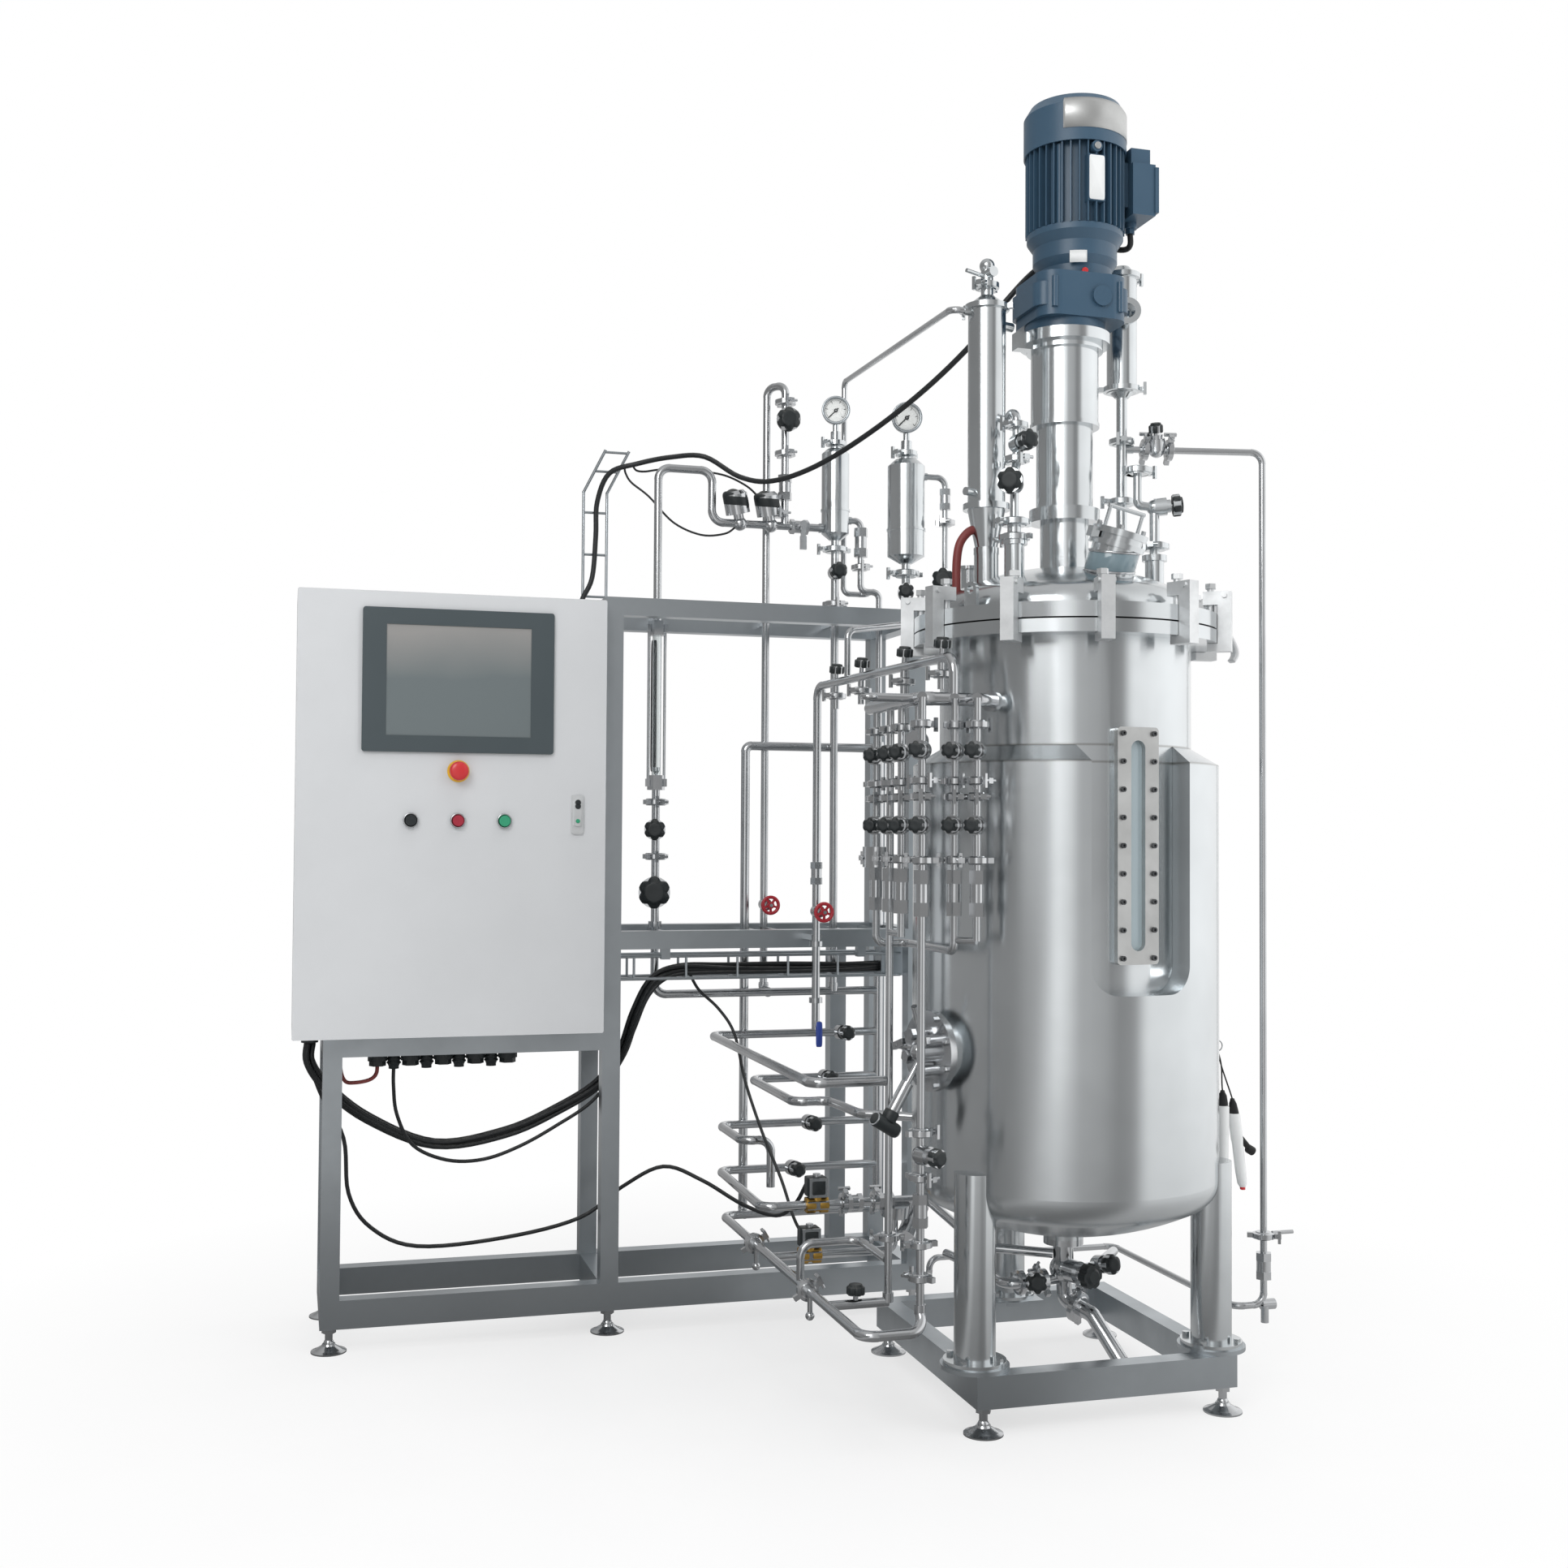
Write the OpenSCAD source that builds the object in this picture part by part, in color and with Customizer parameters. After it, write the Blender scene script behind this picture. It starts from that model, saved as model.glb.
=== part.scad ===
// Skid-mounted stirred-tank bioreactor: a jacketed vessel on its own skid, an instrument rack with a
// control cabinet, and the steam, air and drain pipework between them.
// Millimetres, +Z up. The origin is on the floor under the middle of the whole unit.
// Inside the file every place is measured from the rack's front left corner on the floor.

/* [Rack] */
// Length of the instrument rack
rack_len = 1348; // [1320:1:1380]
// Depth of the instrument rack
rack_depth = 321; // [300:1:360]
// Height of the rack's top beams
rack_top = 1622; // [1600:1:1660]
// Width of the square tubes
tube = 40; // [36:1:44]
// Height of the base rails
rail_h = 60; // [50:1:70]
// Clearance between the rails and the floor
foot_h = 50; // [44:1:70]
// Radius of a levelling foot's pad
foot_r = 37; // [30:1:42]
// Outer width of the bay that carries the cabinet
bay_w = 594; // [580:1:610]
// Top of the beams that carry the cabinet
shelf_z = 660; // [640:1:680]
// Top of the beams at half height
mid_z = 880; // [860:1:900]

/* [Cabinet] */
// Width of the control cabinet
cab_w = 650; // [620:1:660]
// Height of the control cabinet
cab_h = 940; // [900:1:960]
// Depth of the cabinet's body without its door
cab_d = 230; // [210:1:240]
// Thickness of the cabinet's sheet metal
cab_wall = 2; // [1.5:0.1:4]
// Depth of the cabinet's door
door_d = 20; // [18:1:26]
// Width of the touch panel
panel_w = 402; // [360:1:420]
// Height of the touch panel
panel_h = 304; // [280:1:320]
// Radius of the emergency stop's cap
stop_r = 20; // [16:0.5:24]
// Radius of a push button's cap
button_r = 11.5; // [9:0.5:14]

/* [Vessel] */
// Distance of the vessel's axis from the rack's left end
vessel_x = 1410; // [1400:1:1440]
// Distance of the vessel's axis in front of the rack
vessel_y = 620; // [600:1:660]
// Outer radius of the vessel's wall
vessel_r = 247; // [240:1:250]
// Thickness of the vessel's wall
vessel_wall = 4; // [3:0.1:5]
// Width of the jacket's gap
jacket_gap = 50; // [46:1:54]
// Thickness of the jacket's wall
jacket_wall = 3; // [2:0.1:4]
// Height of the vessel's rim above the floor
rim_z = 1497; // [1480:1:1520]
// Height of the vessel's lower tangent line
tangent_z = 470; // [460:1:490]
// Height of the jacket's shoulder
shoulder_z = 1236; // [1200:1:1250]
// Radius of the vessel's rim flange
rim_r = 300; // [296:1:306]
// Thickness of the vessel's rim flange
rim_h = 25; // [20:1:30]
// Thickness of the lid's flange
lid_h = 29; // [25:1:34]
// Thickness of the lid's gasket
gasket_h = 3; // [2:0.5:5]
// Number of lid clamps
clamp_n = 11; // [8:1:12]
// Height of the window's slot
slot_h = 389; // [340:1:400]
// Width of the window's slot
slot_w = 30; // [24:1:34]
// Turn of the window from straight ahead, in degrees
window_turn = 5; // [0:1:10]
// Radius of a leg
leg_r = 39; // [34:1:42]
// Radius of the circle that the legs stand on
leg_circle = 284; // [278:1:290]

/* [Agitator] */
// Radius of the agitator's shaft
shaft_r = 15; // [12:0.5:18]
// Radius of an impeller
impeller_r = 82; // [70:1:90]
// Number of impellers
impeller_n = 3; // [2:1:3]
// Distance between impellers
impeller_gap = 290; // [260:1:300]
// Radius of the lower lantern
lantern_r = 56; // [54:1:60]
// Height of the lantern
lantern_h = 361; // [340:1:380]
// Radius over the motor's fins
motor_r = 99; // [94:1:104]
// Height of the motor's finned body
motor_h = 200; // [180:1:220]
// Number of cooling fins
fin_n = 36; // [28:1:40]
// Distance of the motor's axis from the agitator's axis
motor_shift = 22; // [10:1:26]

/* [Pipework] */
// Radius of the main lines
line_r = 9.5; // [8:0.5:11]
// Radius of the small lines
small_r = 6.5; // [5:0.5:8]
// Radius of a ferrule
ferrule_r = 25; // [22:0.5:27]
// Radius of a large valve knob
knob_r = 24; // [20:0.5:27]
// Radius of filter housing a
filter_a_r = 33; // [30:1:36]
// Radius of filter housing b
filter_b_r = 41; // [38:1:44]
// Radius of the exhaust condenser
condenser_r = 37; // [34:1:40]
// Length of the exhaust condenser's tube
condenser_h = 398; // [360:1:420]
// Radius of a pressure gauge
gauge_r = 31; // [28:1:34]

/* [Hidden] */
$fn = 48;

steel = "#b9bfc2";
dark_steel = "#7d878b";
black = "#1d2022";
blue = "#3f5a6e";
grey = "#c6c8cb";
red = "#c22d34";

// Heights of the rack
rail_z = foot_h + rail_h;
post_y = rack_depth - tube;
mid_x = bay_w;
right_x = rack_len - tube;
rack_my = rack_depth / 2;

// Places and heights of the vessel
vx = vessel_x;
vy = -vessel_y;
jacket_r = vessel_r + jacket_gap + jacket_wall;
jacket_tangent = tangent_z - jacket_gap + 15;
lid_z = rim_z + gasket_h;
dome_z = lid_z + lid_h;
dome_r = vessel_r + 15;
nozzle_z = dome_z + 209;
lantern_top = nozzle_z + lantern_h;
gear_h = 165;
motor_z = lantern_top + gear_h;
bell_h = 40;
fins_z = motor_z + bell_h;
motor_top = fins_z + motor_h;
cowl_over = 40;
cowl_h = 62;
motor_x = vx + motor_shift;
run_gap = 0.05;
free_gap = 0.4;
weld = 0.4;
sink = 1;
under = 0.5;
seam = 0.15;

// Places of the manifold's risers and of its branch into the vessel
riser_x = 1036;
man_top = 1349;
front_y = -830;
head_y = front_y + 30;
inlet_x = riser_x + 124;

// Overall reach, which puts the origin under the middle
cab_x = -64;
cab_y = -door_d - 41;
cab_z = shelf_z + 5;
claw_d = 26;
claw_turn = -11;
return_x = vx + 460;
return_lever = 68;
reach_left = cab_x;
reach_right = return_x + return_lever;
reach_front = vy - (rim_r + claw_d) * cos(claw_turn) + 13 * sin(claw_turn);
reach_back = post_y + tube / 2 + foot_r;
function middle() = [(reach_left + reach_right) / 2, (reach_front + reach_back) / 2, 0];

// Helpers
function unit(v) = v / norm(v);
function around(r, a, z) = [vx + r * sin(a), vy - r * cos(a), z];
module aim(p, v) {
    translate(p) rotate([0, acos(v[2] / norm(v)), atan2(v[1], v[0])]) children();
}
module rod(a, b, r) { aim(a, b - a) cylinder(r = r, h = norm(b - a)); }
// Part bend between two directions, tangent to both and a weld's height thicker than its tubes
module bend(p, u, w, r, bend_r) {
    turn = acos(u * w);
    reach = bend_r * tan(turn / 2);
    n = unit(w - u * (u * w));
    c = p - u * reach + n * bend_r;
    z = cross(-n, u);
    multmatrix([[-n[0], u[0], z[0], c[0]], [-n[1], u[1], z[1], c[1]], [-n[2], u[2], z[2], c[2]],
        [0, 0, 0, 1]])
        rotate_extrude(angle = turn) translate([bend_r, 0]) circle(r = r + weld);
}
// A bent tube through a list of corners, each corner rounded to the same bend radius
module pipe(points, r = line_r, bend_r = 28) {
    last = len(points) - 1;
    function cut(i) = i == 0 || i == last ? 0 : bend_r * tan(acos(
        unit(points[i] - points[i - 1]) * unit(points[i + 1] - points[i])) / 2) - sink;
    for (i = [0:last - 1]) {
        d = unit(points[i + 1] - points[i]);
        rod(points[i] + d * cut(i), points[i + 1] - d * cut(i + 1), r);
    }
    for (i = [1:1:last - 1])
        bend(points[i], unit(points[i] - points[i - 1]), unit(points[i + 1] - points[i]), r, bend_r);
}
// Sanitary clamp: two ferrules in a V ring with a hinged lug, an eye bolt and a wing nut
module clamp(p, axis = [0, 0, 1], r = ferrule_r, turn = 0) {
    ring = r + 5;
    aim(p, axis) rotate(turn) {
        rotate_extrude() polygon([[0, -8], [r - 3, -8], [r - 1, -6], [ring, -5], [ring, 5], [r - 1, 6],
            [r - 3, 8], [0, 8]]);
        translate([ring - 2, -5, -5]) cube([12, 10, 10]);
        translate([-ring - 12, -6, -5]) cube([16, 12, 10]);
        translate([-ring - 8, 0, 0]) rotate([90, 0, 0]) cylinder(r = 3, h = 30, center = true);
        translate([-ring - 8, 12, 0]) cube([6, 6, 26], center = true);
    }
}
// Scalloped hand knob on its spindle, standing along +Z
module knob(r, h, spindle = 14) {
    cylinder(r = 5, h = spindle + 1);
    translate([0, 0, spindle]) linear_extrude(h) difference() {
        circle(r = r);
        for (i = [0:5]) rotate(i * 60) translate([r * 1.16, 0]) circle(r = r * 0.3, $fn = 24);
    }
    translate([0, 0, spindle + h]) cylinder(r1 = r * 0.7, r2 = r * 0.5, h = 4);
}
// Diaphragm valve on a vertical or level line: bowl, bonnet and knob
module valve(p, face, r = knob_r) {
    translate(p) {
        sphere(r = line_r * 1.7);
        aim([0, 0, 0], face) {
            cylinder(r = line_r * 1.9, h = 24);
            translate([0, 0, 20]) cylinder(r = line_r * 1.4, h = 12);
            translate([0, 0, 30]) knob(r, 15, 6);
        }
    }
}
// Check valve or coupling: a body between two hexagon nuts
module union_body(p, axis = [0, 0, 1], r = 17, h = 60) {
    aim(p, axis) {
        translate([0, 0, -h / 2]) cylinder(r = r, h = h * 0.3, $fn = 6);
        translate([0, 0, -h * 0.2 - 1]) cylinder(r = r * 0.85, h = h * 0.4 + 2);
        translate([0, 0, h * 0.2]) cylinder(r = r, h = h * 0.3, $fn = 6);
    }
}
// Torispherical end: crown radius is the diameter, knuckle radius a tenth of it, opening upwards
module dished2d(r, top, z_t) {
    crown = 2 * r;
    knuckle = 0.2 * r;
    cz = z_t + crown_up(r);
    a = asin((r - knuckle) / (crown - knuckle));
    intersection() {
        translate([0, z_t - r]) square([r, top - z_t + r]);
        union() {
            intersection() {
                translate([0, cz]) circle(r = crown, $fn = 360);
                polygon([[0, cz], [0, cz - 2 * crown], [2 * crown * sin(a), cz - 2 * crown * cos(a)]]);
            }
            translate([r - knuckle, z_t]) circle(r = knuckle);
            translate([0, z_t]) square([r, top - z_t]);
        }
    }
}
module dished(r, top, z_t) rotate_extrude($fn = 96) dished2d(r, top, z_t);
function crown_up(r) = sqrt(pow(1.8 * r, 2) - pow(0.8 * r, 2));
function dish_depth(r) = 2 * r - crown_up(r);

// The jacket's outer form, which legs and ports are cut to
module jacket_form(r, z_t) {
    translate([vx, vy, 0]) {
        dished(r, shoulder_z, z_t);
        translate([0, 0, shoulder_z]) cylinder(r1 = r, r2 = vessel_r, h = 32, $fn = 96);
    }
}

module rack_frame() color(dark_steel) {
    for (y = [0, post_y]) {
        translate([0, y, foot_h]) cube([rack_len, tube, rail_h]);
        translate([0, y, rail_z]) cube([tube, tube, shelf_z - rail_z]);
        for (x = [mid_x, right_x]) translate([x, y, rail_z]) cube([tube, tube, rack_top - rail_z]);
        translate([tube, y, shelf_z - tube]) cube([mid_x - tube, tube, tube]);
        for (z = [mid_z, rack_top])
            translate([mid_x + tube, y, z - tube]) cube([right_x - mid_x - tube, tube, tube]);
    }
    for (x = [0, mid_x, right_x]) translate([x, tube, foot_h]) cube([tube, post_y - tube, rail_h]);
    for (x = [0, mid_x]) translate([x, tube, shelf_z - tube]) cube([tube, post_y - tube, tube]);
    for (x = [mid_x, right_x]) translate([x, tube, rack_top - tube]) cube([tube, post_y - tube, tube]);
    for (x = [mid_x, right_x]) translate([x, tube, mid_z - tube]) cube([tube, post_y - tube, tube]);
    translate([rack_len - 3.5 * tube, post_y, rail_z]) cube([tube, tube, mid_z - tube - rail_z]);
}

// One levelling foot: flared pad, ball, stem and lock nut
module foot() {
    rotate_extrude() polygon([[0, 0], [foot_r, 0], [foot_r, 3], [foot_r - 8, 6], [15, 14], [13, 18],
        [0, 18]]);
    translate([0, 0, 18]) sphere(r = 11);
    cylinder(r = 8, h = foot_h);
    translate([0, 0, foot_h - 10]) cylinder(r = 15, h = 10, $fn = 6);
}

// Skid under the vessel, with a pad under each leg
skid_x = vx - leg_circle * cos(30) - tube / 2;
skid_w = 2 * leg_circle * cos(30) + tube;
skid_y = vy - leg_circle * sin(30) - tube / 2 - 43;
skid_d = leg_circle * (1 + sin(30)) + tube + 97;
pad_h = 8;
module levelling_feet() color(steel) {
    for (x = [tube / 2, mid_x + tube / 2, right_x + tube / 2], y = [tube / 2, post_y + tube / 2])
        translate([x, y, 0]) foot();
    for (x = [tube / 2, skid_w - tube / 2], y = [tube / 2, skid_d - tube / 2])
        translate([skid_x + x, skid_y + y, 0]) foot();
}
leg_turns = [60, -60, 180];
module vessel_base() color(dark_steel) {
    translate([skid_x, skid_y, foot_h]) difference() {
        cube([skid_w, skid_d, rail_h]);
        translate([tube, tube, -1]) cube([skid_w - 2 * tube, skid_d - 2 * tube, rail_h + 2]);
    }
    for (a = leg_turns) translate(around(leg_circle, a, rail_z)) cylinder(r = leg_r + 26, h = pad_h);
    translate([vx - 60, vy + leg_circle - 60, rail_z]) cube([120, skid_y + skid_d - vy - leg_circle + 60,
        pad_h]);
}

// Legs, each cut to the jacket's knuckle and bolted to its pad
leg_top = jacket_tangent + 35;
module vessel_legs() color(steel) for (a = leg_turns) {
    difference() {
        translate(around(leg_circle, a, rail_z + pad_h)) cylinder(r = leg_r, h = leg_top - rail_z - pad_h);
        translate([vx, vy, jacket_tangent]) {
            cylinder(r = jacket_r + seam, h = 100);
            rotate_extrude() translate([jacket_r * 0.8, 0]) circle(r = jacket_r * 0.2 + seam);
            intersection() {
                translate([0, 0, crown_up(jacket_r)]) sphere(r = 2 * jacket_r + 2 * seam);
                translate([0, 0, -400]) cylinder(r = jacket_r * 0.87, h = 400);
            }
        }
    }
    translate(around(leg_circle, a, rail_z + pad_h)) {
        cylinder(r = leg_r + 20, h = 8);
        for (k = [0:3]) rotate(45 + 90 * k) translate([leg_r + 11, 0, 7]) cylinder(r = 7, h = 8, $fn = 6);
    }
}

// Window position: local +Y points outwards from the vessel's axis
window_h = slot_h + 50;
window_w = slot_w + 58;
window_z = rim_z - 197 - window_h / 2;
window_seat = vessel_r + 12;
frame_t = 12;
module at_window() translate([vx, vy, window_z]) rotate(window_turn) rotate([90, 0, 0]) children();
module slot2d(w, h) {
    square([w, h - w], center = true);
    for (s = [-1, 1]) translate([0, s * (h - w) / 2]) circle(r = w / 2);
}
module plate2d(w, h, r) {
    square([w - 2 * r, h], center = true);
    square([w, h - 2 * r], center = true);
    for (x = [-1, 1], y = [-1, 1]) translate([x * (w / 2 - r), y * (h / 2 - r)]) circle(r = r, $fn = 24);
}
port_turn = -75;
port_z = 690;
port_r = 60;
module at_port() translate([vx, vy, port_z]) rotate(port_turn) rotate([90, 0, 0]) children();
inlet_face = vessel_r + 28;
inlet_turn = -atan2(vx - inlet_x, vy - head_y);
module at_inlet() translate([vx, vy, man_top]) rotate(inlet_turn) rotate([90, 0, 0]) children();
outlet_r = 25;
outlet_z = tangent_z - dish_depth(vessel_r);
module vessel_shell() color(steel) difference() {
    union() {
        translate([vx, vy, 0]) {
            dished(vessel_r, rim_z, tangent_z);
            translate([0, 0, rim_z - rim_h]) cylinder(r = rim_r, h = rim_h, $fn = 96);
            translate([0, 0, outlet_z - 70]) cylinder(r = outlet_r, h = 90);
            translate([0, 0, outlet_z - 70]) cylinder(r = outlet_r + 14, h = 12);
        }
        at_window() linear_extrude(window_seat) plate2d(window_w, window_h, 8);
        at_port() cylinder(r = port_r, h = jacket_r + 18);
        at_inlet() cylinder(r = 13, h = inlet_face);
        at_inlet() translate([0, 0, inlet_face - 6]) cylinder(r = 20, h = 6);
    }
    translate([vx, vy, 0]) {
        dished(vessel_r - vessel_wall, rim_z + 1, tangent_z);
        translate([0, 0, outlet_z - 71]) cylinder(r = outlet_r - 4, h = 100);
    }
    at_window() linear_extrude(window_seat + 1) slot2d(slot_w, slot_h);
    at_window() translate([0, 0, window_seat - 6]) linear_extrude(7) slot2d(slot_w + 12, slot_h + 12);
    at_port() cylinder(r = port_r - 5, h = jacket_r + 19);
    at_inlet() cylinder(r = 10, h = inlet_face + 1);
}
pocket_w = window_w + 122;
pocket_low = window_h / 2 + 55;
module pocket2d(grow = 0) {
    w = pocket_w + 2 * grow;
    translate([-w / 2, -pocket_low - grow + w / 4]) square([w, 1000]);
    translate([-w / 4, -pocket_low - grow]) square([w / 2, w]);
    for (s = [-1, 1]) translate([s * w / 4, -pocket_low - grow + w / 4]) circle(r = w / 4);
}
module jacket() color(steel) difference() {
    union() {
        difference() {
            jacket_form(jacket_r, jacket_tangent);
            translate([vx, vy, 0]) dished(jacket_r - jacket_wall, shoulder_z, jacket_tangent);
            translate([vx, vy, shoulder_z - 1]) cylinder(r = vessel_r + seam, h = 40, $fn = 96);
            translate([vx, vy, shoulder_z - 0.5])
                cylinder(r1 = jacket_r - jacket_wall, r2 = vessel_r - jacket_wall, h = 32, $fn = 96);
        }
        intersection() {
            at_window() linear_extrude(jacket_r + 10) difference() {
                pocket2d(jacket_wall);
                pocket2d();
            }
            difference() {
                jacket_form(jacket_r, jacket_tangent);
                translate([vx, vy, 0]) cylinder(r = vessel_r + seam, h = 3000, $fn = 96);
            }
        }
    }
    at_window() linear_extrude(jacket_r + 10) pocket2d();
    at_port() cylinder(r = port_r + seam, h = jacket_r + 20);
    translate([vx, vy, 0]) cylinder(r = outlet_r + seam, h = tangent_z);
}
bolt_pitch = (window_h - 24) / 8;
module window_frame() color(grey) at_window() translate([0, 0, window_seat]) difference() {
    linear_extrude(frame_t) plate2d(window_w, window_h, 8);
    translate([0, 0, -1]) linear_extrude(frame_t + 2) slot2d(slot_w, slot_h);
}
module window_glass() color("#8fa3a8") at_window() translate([0, 0, window_seat - 6])
    linear_extrude(6) slot2d(slot_w + 12 - 2 * free_gap, slot_h + 12 - 2 * free_gap);
module window_bolts() color(dark_steel) at_window()
    for (s = [-1, 1], k = [-4:4]) translate([s * (window_w / 2 - 11), k * bolt_pitch, window_seat + frame_t])
        difference() {
            cylinder(r = 5, h = 5);
            translate([0, 0, 2]) cylinder(r = 2.5, h = 4, $fn = 6);
        }
module baffles() color(steel) for (a = [45:90:315]) translate([vx, vy, tangent_z]) rotate(a)
    translate([0, -vessel_r + vessel_wall, 0]) {
        translate([-1.5, 12, 30]) cube([3, 40, rim_z - tangent_z - 260]);
        for (z = [60, rim_z - tangent_z - 300]) translate([-4, 0.1, z]) cube([8, 14, 30]);
    }
sparger_z = tangent_z + 18;
module sparger() color(steel) translate([vx, vy, sparger_z]) {
    rotate_extrude() translate([impeller_r - 8, 0]) circle(r = small_r, $fn = 24);
    rotate(20) translate([impeller_r - 8, 0, 0]) {
        rotate([0, 90, 0]) cylinder(r = small_r, h = vessel_r - vessel_wall - impeller_r + 8);
    }
}
module rushton() {
    cylinder(r = shaft_r + 8, h = 44, center = true);
    cylinder(r = impeller_r * 0.74, h = 4, center = true);
    for (k = [0:5]) rotate(60 * k) translate([impeller_r * 0.5, -1.5, -17])
        cube([impeller_r * 0.5, 3, 34]);
}
shaft_low = sparger_z + 20;
module agitator() color(steel) translate([vx, vy, 0]) {
    translate([0, 0, shaft_low]) cylinder(r = shaft_r, h = lantern_top + 40 - shaft_low);
    for (k = [0:impeller_n - 1]) translate([0, 0, shaft_low + 30 + k * impeller_gap]) rushton();
    translate([0, 0, nozzle_z + 150]) cylinder(r = shaft_r + 14, h = 90);
    for (z = [nozzle_z + 160, nozzle_z + 222]) translate([0, 0, z]) cylinder(r = shaft_r + 17, h = 8);
}

// Lid nozzles: angle, radius from the axis, tube radius, top height above the dome's base
exhaust_at = [-82, 180];
side_at = [115, 183];
sight_at = [5, 160];
feed_at = [-54, 196];
inoc_at = [85, 192];
nozzles = [[exhaust_at, 24, 125], [side_at, 16, 150], [feed_at, 19, 130], [inoc_at, 19, 130],
    [[150, 190], 16, 100], [[-150, 190], 16, 100], [[-115, 190], 16, 110]];
hatch_tilt = 14;
hatch_lean = 11;
hatch_h = 60;
module at_hatch() translate(around(sight_at[1], sight_at[0], dome_z + 62))
    rotate([0, 0, sight_at[0]]) rotate([hatch_tilt, hatch_lean, 0]) children();
module lid() color(steel) difference() {
    union() {
        translate([vx, vy, dome_z]) rotate_extrude($fn = 96) difference() {
            union() {
                mirror([0, 1]) dished2d(dome_r, lid_h, 0);
                translate([0, -lid_h]) square([rim_r, lid_h]);
                square([lantern_r - 8, nozzle_z - dome_z - 10]);
                translate([0, nozzle_z - dome_z - 16]) square([lantern_r + 14, 16]);
            }
            mirror([0, 1]) dished2d(dome_r - 5, lid_h + 1, 0);
            square([lantern_r - 18, 400]);
        }
        for (n = nozzles) translate(around(n[0][1], n[0][0], dome_z + 50)) {
            cylinder(r = n[1], h = n[2] - 50);
            translate([0, 0, n[2] - 56]) cylinder(r = ferrule_r, h = 6);
        }
        at_hatch() translate([0, 0, -14]) cylinder(r = 46, h = hatch_h + 14);
        for (a = [-64, 64]) translate(around(rim_r - 24, a, dome_z)) rotate(a) lid_eye();
    }
    for (n = nozzles) translate(around(n[0][1], n[0][0], dome_z)) cylinder(r = n[1] - 3, h = 300);
    at_hatch() translate([0, 0, -40]) cylinder(r = 40, h = hatch_h + 48);
}
module lid_eye() {
    difference() {
        union() {
            translate([-15, -4, 0]) cube([30, 8, 34]);
            translate([0, 4, 34]) rotate([90, 0, 0]) cylinder(r = 15, h = 8);
        }
        translate([0, 5, 34]) rotate([90, 0, 0]) cylinder(r = 8, h = 10);
    }
}
module lid_gasket() color(black) translate([vx, vy, rim_z]) difference() {
    cylinder(r = vessel_r + 22, h = gasket_h, $fn = 96);
    translate([0, 0, -1]) cylinder(r = vessel_r + 4, h = gasket_h + 2, $fn = 96);
}
clamp_low = rim_z - rim_h;
clamp_span = dome_z - clamp_low;
// One claw clamp: a back bar outside the flanges, a lower jaw, an upper jaw, a screw and a hinge pin
module claw() {
    translate([-13, -claw_d, -16]) cube([26, claw_d - free_gap, clamp_span + 60]);
    translate([-13, -8, -16]) cube([26, 28, 16 - free_gap]);
    translate([-13, -8, clamp_span + 18]) cube([26, 36, 26]);
    translate([0, 14, clamp_span]) cylinder(r = 7, h = 50);
    translate([0, 14, clamp_span + 50]) cylinder(r = 11, h = 10, $fn = 6);
    translate([0, -13, clamp_span + 36]) rotate([0, 90, 0]) cylinder(r = 5, h = 34, center = true);
}
module lid_clamps() color(grey) for (k = [0:clamp_n - 1]) {
    a = claw_turn + k * 360 / clamp_n;
    translate(around(rim_r, a, clamp_low)) rotate(a) claw();
}
module shaft_seal() color(dark_steel) translate([vx, vy, nozzle_z]) difference() {
    union() {
        cylinder(r = lantern_r - 12, h = 14);
        cylinder(r = shaft_r + 16, h = 56);
    }
    translate([0, 0, -1]) cylinder(r = shaft_r + run_gap, h = 60);
}
lantern_step = 178;
module lantern() color(steel) translate([vx, vy, nozzle_z]) difference() {
    union() {
        cylinder(r = lantern_r + 14, h = 10);
        cylinder(r = lantern_r, h = lantern_step);
        translate([0, 0, lantern_step]) cylinder(r = lantern_r + 11, h = lantern_h - lantern_step);
        translate([0, 0, lantern_step - 3]) cylinder(r = lantern_r + 13, h = 8);
        translate([0, 0, lantern_h - 34]) cylinder(r = lantern_r + 20, h = 12);
        translate([0, 0, lantern_h - 22]) cylinder(r = lantern_r + 34, h = 22);
        translate([-lantern_r - 52, -14, lantern_h - 34]) cube([40, 28, 34]);
    }
    translate([0, 0, -1]) cylinder(r = lantern_r - 7, h = lantern_h + 2);
}
module gear_unit() color(blue) translate([vx, vy, lantern_top]) difference() {
    union() {
        cylinder(r = lantern_r + 24, h = 24);
        translate([motor_shift / 2, 0, 20]) linear_extrude(88) plate2d(188, 168, 40);
        translate([motor_shift / 2, 0, 40]) linear_extrude(46) plate2d(204, 150, 30);
        translate([motor_shift, 0, 104]) cylinder(r = 74, h = 30);
        translate([motor_shift, 0, 130]) cylinder(r1 = 74, r2 = 84, h = 16);
        translate([motor_shift, 0, 146]) cylinder(r = 84, h = gear_h - 146);
        translate([40, -78, 62]) rotate([90, 0, 0]) cylinder(r = 20, h = 12);
        for (s = [-1, 1]) translate([s * 70 + 11, -82, 34]) cylinder(r = 6, h = 60);
    }
    translate([0, 0, -1]) cylinder(r = shaft_r + run_gap, h = 60);
}
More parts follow.
